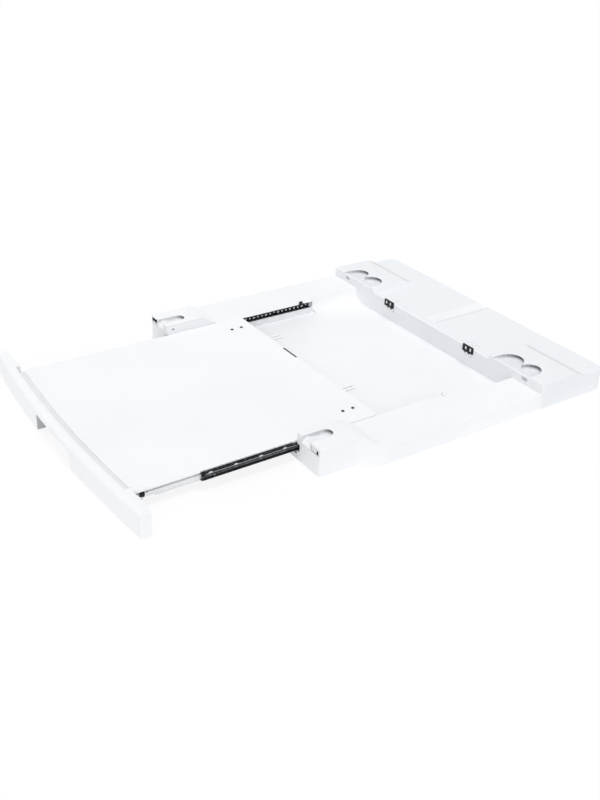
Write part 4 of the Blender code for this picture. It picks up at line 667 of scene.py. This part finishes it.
# slots on the middle channel, pale strips on it that paint highlight streaks, and a thin black blade that
# paints shade along the shelf's side edge
middleSlots = {"x": 215.75, "height": 26.9, "places": (-151.5, -108.5, -65.0, -22.0), "radius": 1.7,
               "depth": 0.36, "longer": 2.2}
middleHighlightStrips = ({"x": (215.55, 215.88), "y": (-160.0, 146.0), "z": (25.0, 26.2)},
               {"x": (215.55, 215.88), "y": (-148.0, 140.0), "z": (22.2, 23.8)},
               {"x": (212.58, 212.90), "y": (-166.4, -6.0), "z": (30.5, 31.7)})
middleShadeBlade = ({"x": (212.58, 212.86), "y": (-166.4, -6.0), "z": (28.4, 31.7)},)


def makeChannelDetails():
    for sideName, side in sideNames.items():
        body = "middle_" + sideName
        mesh = bmesh.new()
        for index in range(webStuds["count"]):
            y = webStuds["first"] + index * webStuds["step"]
            if y < webStuds["last"] and abs(y - webStuds["screw"]) >= webStuds["screwRoom"]:
                lengthen = 1.0 if index % webStuds["longEvery"] else webStuds["longer"]
                addDisc(mesh, (side * webStuds["x"], y, webStuds["height"]), webStuds["radius"],
                        webStuds["depth"], lengthen)
        newPiece("web_studs_" + sideName, mesh, "linerWhite", "frame")
        mesh = bmesh.new()
        for y in middleSlots["places"]:
            addDisc(mesh, (side * middleSlots["x"], y, middleSlots["height"]), middleSlots["radius"],
                    middleSlots["depth"], middleSlots["longer"])
        newPiece("middle_slots_" + sideName, mesh, "linerWhite", body)
        # the pale strips are painted highlight, the black blade is painted shade
        blockPiece("middle_beads_" + sideName, middleHighlightStrips, "paleRingAndHighlight", body, 0.12, side=side)
        blockPiece("middle_blade_" + sideName, middleShadeBlade, "slideBlack", body, side=side)


makeChannelDetails()

# sloping ledge between the fascia and the shelf, bowed as both are; its greyer white is painted shade of the
# gap behind the fascia
frontLedge = {"top": 30.75, "thick": 1.2, "half": 212.0, "wall": -295.3, "edge": -279.6, "bow": 0.000194,
              "steps": 48}


def makeFrontLedge():
    mesh = bmesh.new()
    bmesh.ops.create_grid(mesh, x_segments=frontLedge["steps"], y_segments=1, size=1)
    for vert in mesh.verts:
        x = vert.co.x * frontLedge["half"]
        name = "edge" if vert.co.y > 0 else "wall"
        y = frontLedge[name] + frontLedge["bow"] * x * x
        vert.co = (x * mm, y * mm + frameFront, frontLedge["top"] * mm)
    bmesh.ops.recalc_face_normals(mesh, faces=mesh.faces)
    bmesh.ops.solidify(mesh, geom=list(mesh.faces), thickness=frontLedge["thick"] * mm)
    newPiece("front_ledge", mesh, "ledgeShadeGrey", "shelf", 0.2, 1)


makeFrontLedge()

# plugs that close the fascia's hollow ends from behind, each with a shallow panel
endCover = ({"x": (215.4, 275.1), "y": (-281.0, -278.6), "z": (4.4, 39.6)},
            {"x": (221.4, 269.1), "y": (-279.0, -277.9), "z": (10.4, 33.6)})
for sideName, side in sideNames.items():
    blockPiece("fascia_cover_" + sideName, endCover, "fasciaWhite", "shelf", 0.3, side=side)

# thin grey strip beside the platform's groove that paints the groove's shade line, low lip along the bay's
# front edge, strip in the shelf's rear slot
grooveShadeStrip = ({"x": (1.9, 4.3), "y": (459.5, 595.5), "z": (39.2, 39.72)},)
frontLip = ({"x": (-216.3, 216.3), "y": (0.15, 1.7), "z": (3.5, 9.4)},)
slotStrip = ({"x": (-63.0, -20.2), "y": (154.5, 157.8), "z": (22.0, 32.7)},)
blockPiece("groove_rim", grooveShadeStrip, "creaseShadeGrey", "frame", 0.15, 1)
blockPiece("front_lip", frontLip, "trayWhite", "frame", 0.5, 3)
blockPiece("rear_slot_strip", slotStrip, "clipBlack", "shelf", 0.1, 1)
print("lips, catches, clips and slides detailed")

# screws, rivets and cages keep their own meshes and get a finish
screwLooks = (("shelf_screw", "screwDark"), ("catch_screw", "zincPale"), ("screw", "screwZinc"),
              ("rivet", "screwZinc"), ("cage", "zincBright"))
for nodeName, part in nodes.items():
    for word, look in screwLooks:
        if word in nodeName:
            part.material_slots[0].material = looks[look]
            break
print("screws and cages finished")

# floorSeen lifts the floor where it is seen, floorLift and floorGlow are the soft light that it returns
studio = {"floorSize": 9.0, "floorWhite": 0.97, "floorDrift": 0.01, "floorLift": 0.14, "floorGlow": 1.9,
          "floorSeen": 0.84, "skyStrength": 0.60, "skyColor": (0.97, 0.985, 1.0)}
suns = {
    "keySun": {"strength": 1.20, "softness": 24, "from": (0.16, 0.02, 0.96), "color": (1.0, 0.998, 0.99)},
    "fillSun": {"strength": 0.66, "softness": 70, "from": (0.66, -0.66, 0.34), "color": (1.0, 1.0, 1.0)},
}


def viewRays(tree, rays):
    # 1 for rays from the camera, from a reflection or through a clear piece
    first = addNode(tree, "ShaderNodeMath", operation="MAXIMUM")
    both = addNode(tree, "ShaderNodeMath", operation="MAXIMUM")
    join(tree, rays, "Is Camera Ray", first, 0)
    join(tree, rays, "Is Glossy Ray", first, 1)
    join(tree, first, 0, both, 0)
    join(tree, rays, "Is Transmission Ray", both, 1)
    return both


def makeFloor():
    # paper that keeps the shadow, lifted towards white where the camera sees it
    mesh = bmesh.new()
    bmesh.ops.create_grid(mesh, x_segments=1, y_segments=1, size=studio["floorSize"])
    data = bpy.data.meshes.new("studioFloor")
    mesh.to_mesh(data)
    mesh.free()
    floor = bpy.data.objects.new("studioFloor", data)
    bpy.context.scene.collection.objects.link(floor)
    material, tree, shader = newMaterial("floorPaper")
    tone = addNode(tree, "ShaderNodeGroup", node_tree=toneDrift)
    white = studio["floorWhite"]
    duller = white - studio["floorDrift"]
    setInputs(tone, Color=(white, white, white, 1), Second=(duller, duller, duller + 0.002, 1), Scale=0.7)
    join(tree, tone, "Color", shader, "Base Color")
    setInputs(shader, **{"Roughness": 0.9, "Specular IOR Level": 0.1})
    rays = addNode(tree, "ShaderNodeLightPath")
    view = viewRays(tree, rays)
    seen = addNode(tree, "ShaderNodeMath", operation="MULTIPLY")
    seen.inputs[1].default_value = studio["floorSeen"]
    share = addNode(tree, "ShaderNodeMath", operation="MULTIPLY_ADD")
    share.inputs[1].default_value = studio["floorLift"]
    strength = addNode(tree, "ShaderNodeMath", operation="MULTIPLY_ADD")
    strength.inputs[1].default_value = studio["floorGlow"] - 1.0
    strength.inputs[2].default_value = 1.0
    glow = addNode(tree, "ShaderNodeEmission")
    mix = addNode(tree, "ShaderNodeMixShader")
    end = tree.nodes["Material Output"]
    join(tree, view, 0, seen, 0)
    join(tree, rays, "Is Diffuse Ray", share, 0)
    join(tree, seen, 0, share, 2)
    join(tree, rays, "Is Diffuse Ray", strength, 0)
    join(tree, strength, 0, glow, "Strength")
    join(tree, share, 0, mix, 0)
    join(tree, shader, 0, mix, 1)
    join(tree, glow, 0, mix, 2)
    join(tree, mix, 0, end, "Surface")
    data.materials.append(material)


def makeSky():
    world = bpy.data.worlds.new("studioSky")
    bpy.context.scene.world = world
    world.use_nodes = True
    tree = world.node_tree
    tree.nodes.clear()
    end = addNode(tree, "ShaderNodeOutputWorld")
    soft = setInputs(addNode(tree, "ShaderNodeBackground"), Color=(*studio["skyColor"], 1),
                     Strength=studio["skyStrength"])
    plain = setInputs(addNode(tree, "ShaderNodeBackground"), Color=(1, 1, 1, 1), Strength=1.0)
    rays = addNode(tree, "ShaderNodeLightPath")
    view = viewRays(tree, rays)
    mix = addNode(tree, "ShaderNodeMixShader")
    join(tree, view, 0, mix, 0)
    join(tree, soft, 0, mix, 1)
    join(tree, plain, 0, mix, 2)
    join(tree, mix, 0, end, "Surface")


def makeSuns():
    for name, settings in suns.items():
        lamp = bpy.data.lights.new(name, "SUN")
        lamp.energy = settings["strength"]
        lamp.angle = math.radians(settings["softness"])
        lamp.color = settings["color"]
        sun = bpy.data.objects.new(name, lamp)
        bpy.context.scene.collection.objects.link(sun)
        sun.rotation_euler = Vector(settings["from"]).to_track_quat("Z", "Y").to_euler()


makeFloor()
makeSky()
makeSuns()
print("studio ready")

# angles in degrees, distance and target in metres, found from the edges in the photograph
lens = {"azimuth": 55.07, "height": 29.38, "roll": 2.22, "distance": 1.73127, "focalPixels": 1013.61,
        "target": (0.06406, -0.03564, 0.0), "imageHeight": 800, "sensor": 36.0}


def makeCamera():
    azimuth = math.radians(lens["azimuth"])
    height = math.radians(lens["height"])
    roll = math.radians(lens["roll"])
    ahead = Vector((-math.sin(azimuth) * math.cos(height), math.cos(azimuth) * math.cos(height),
                    -math.sin(height)))
    level = Vector((math.cos(azimuth), math.sin(azimuth), 0))
    upright = level.cross(ahead)
    right = level * math.cos(roll) + upright * math.sin(roll)
    up = upright * math.cos(roll) - level * math.sin(roll)
    place = Vector(lens["target"]) - ahead * lens["distance"]
    data = bpy.data.cameras.new("photoCamera")
    data.sensor_width = lens["sensor"]
    data.sensor_fit = "AUTO"
    data.lens = lens["focalPixels"] * lens["sensor"] / lens["imageHeight"]
    data.clip_end = 40
    camera = bpy.data.objects.new("photoCamera", data)
    bpy.context.scene.collection.objects.link(camera)
    turn = Matrix((right, up, -ahead)).transposed().to_4x4()
    camera.matrix_world = Matrix.Translation(place) @ turn
    bpy.context.scene.camera = camera


makeCamera()
bpy.context.scene.view_settings.view_transform = "Standard"
print("camera placed")
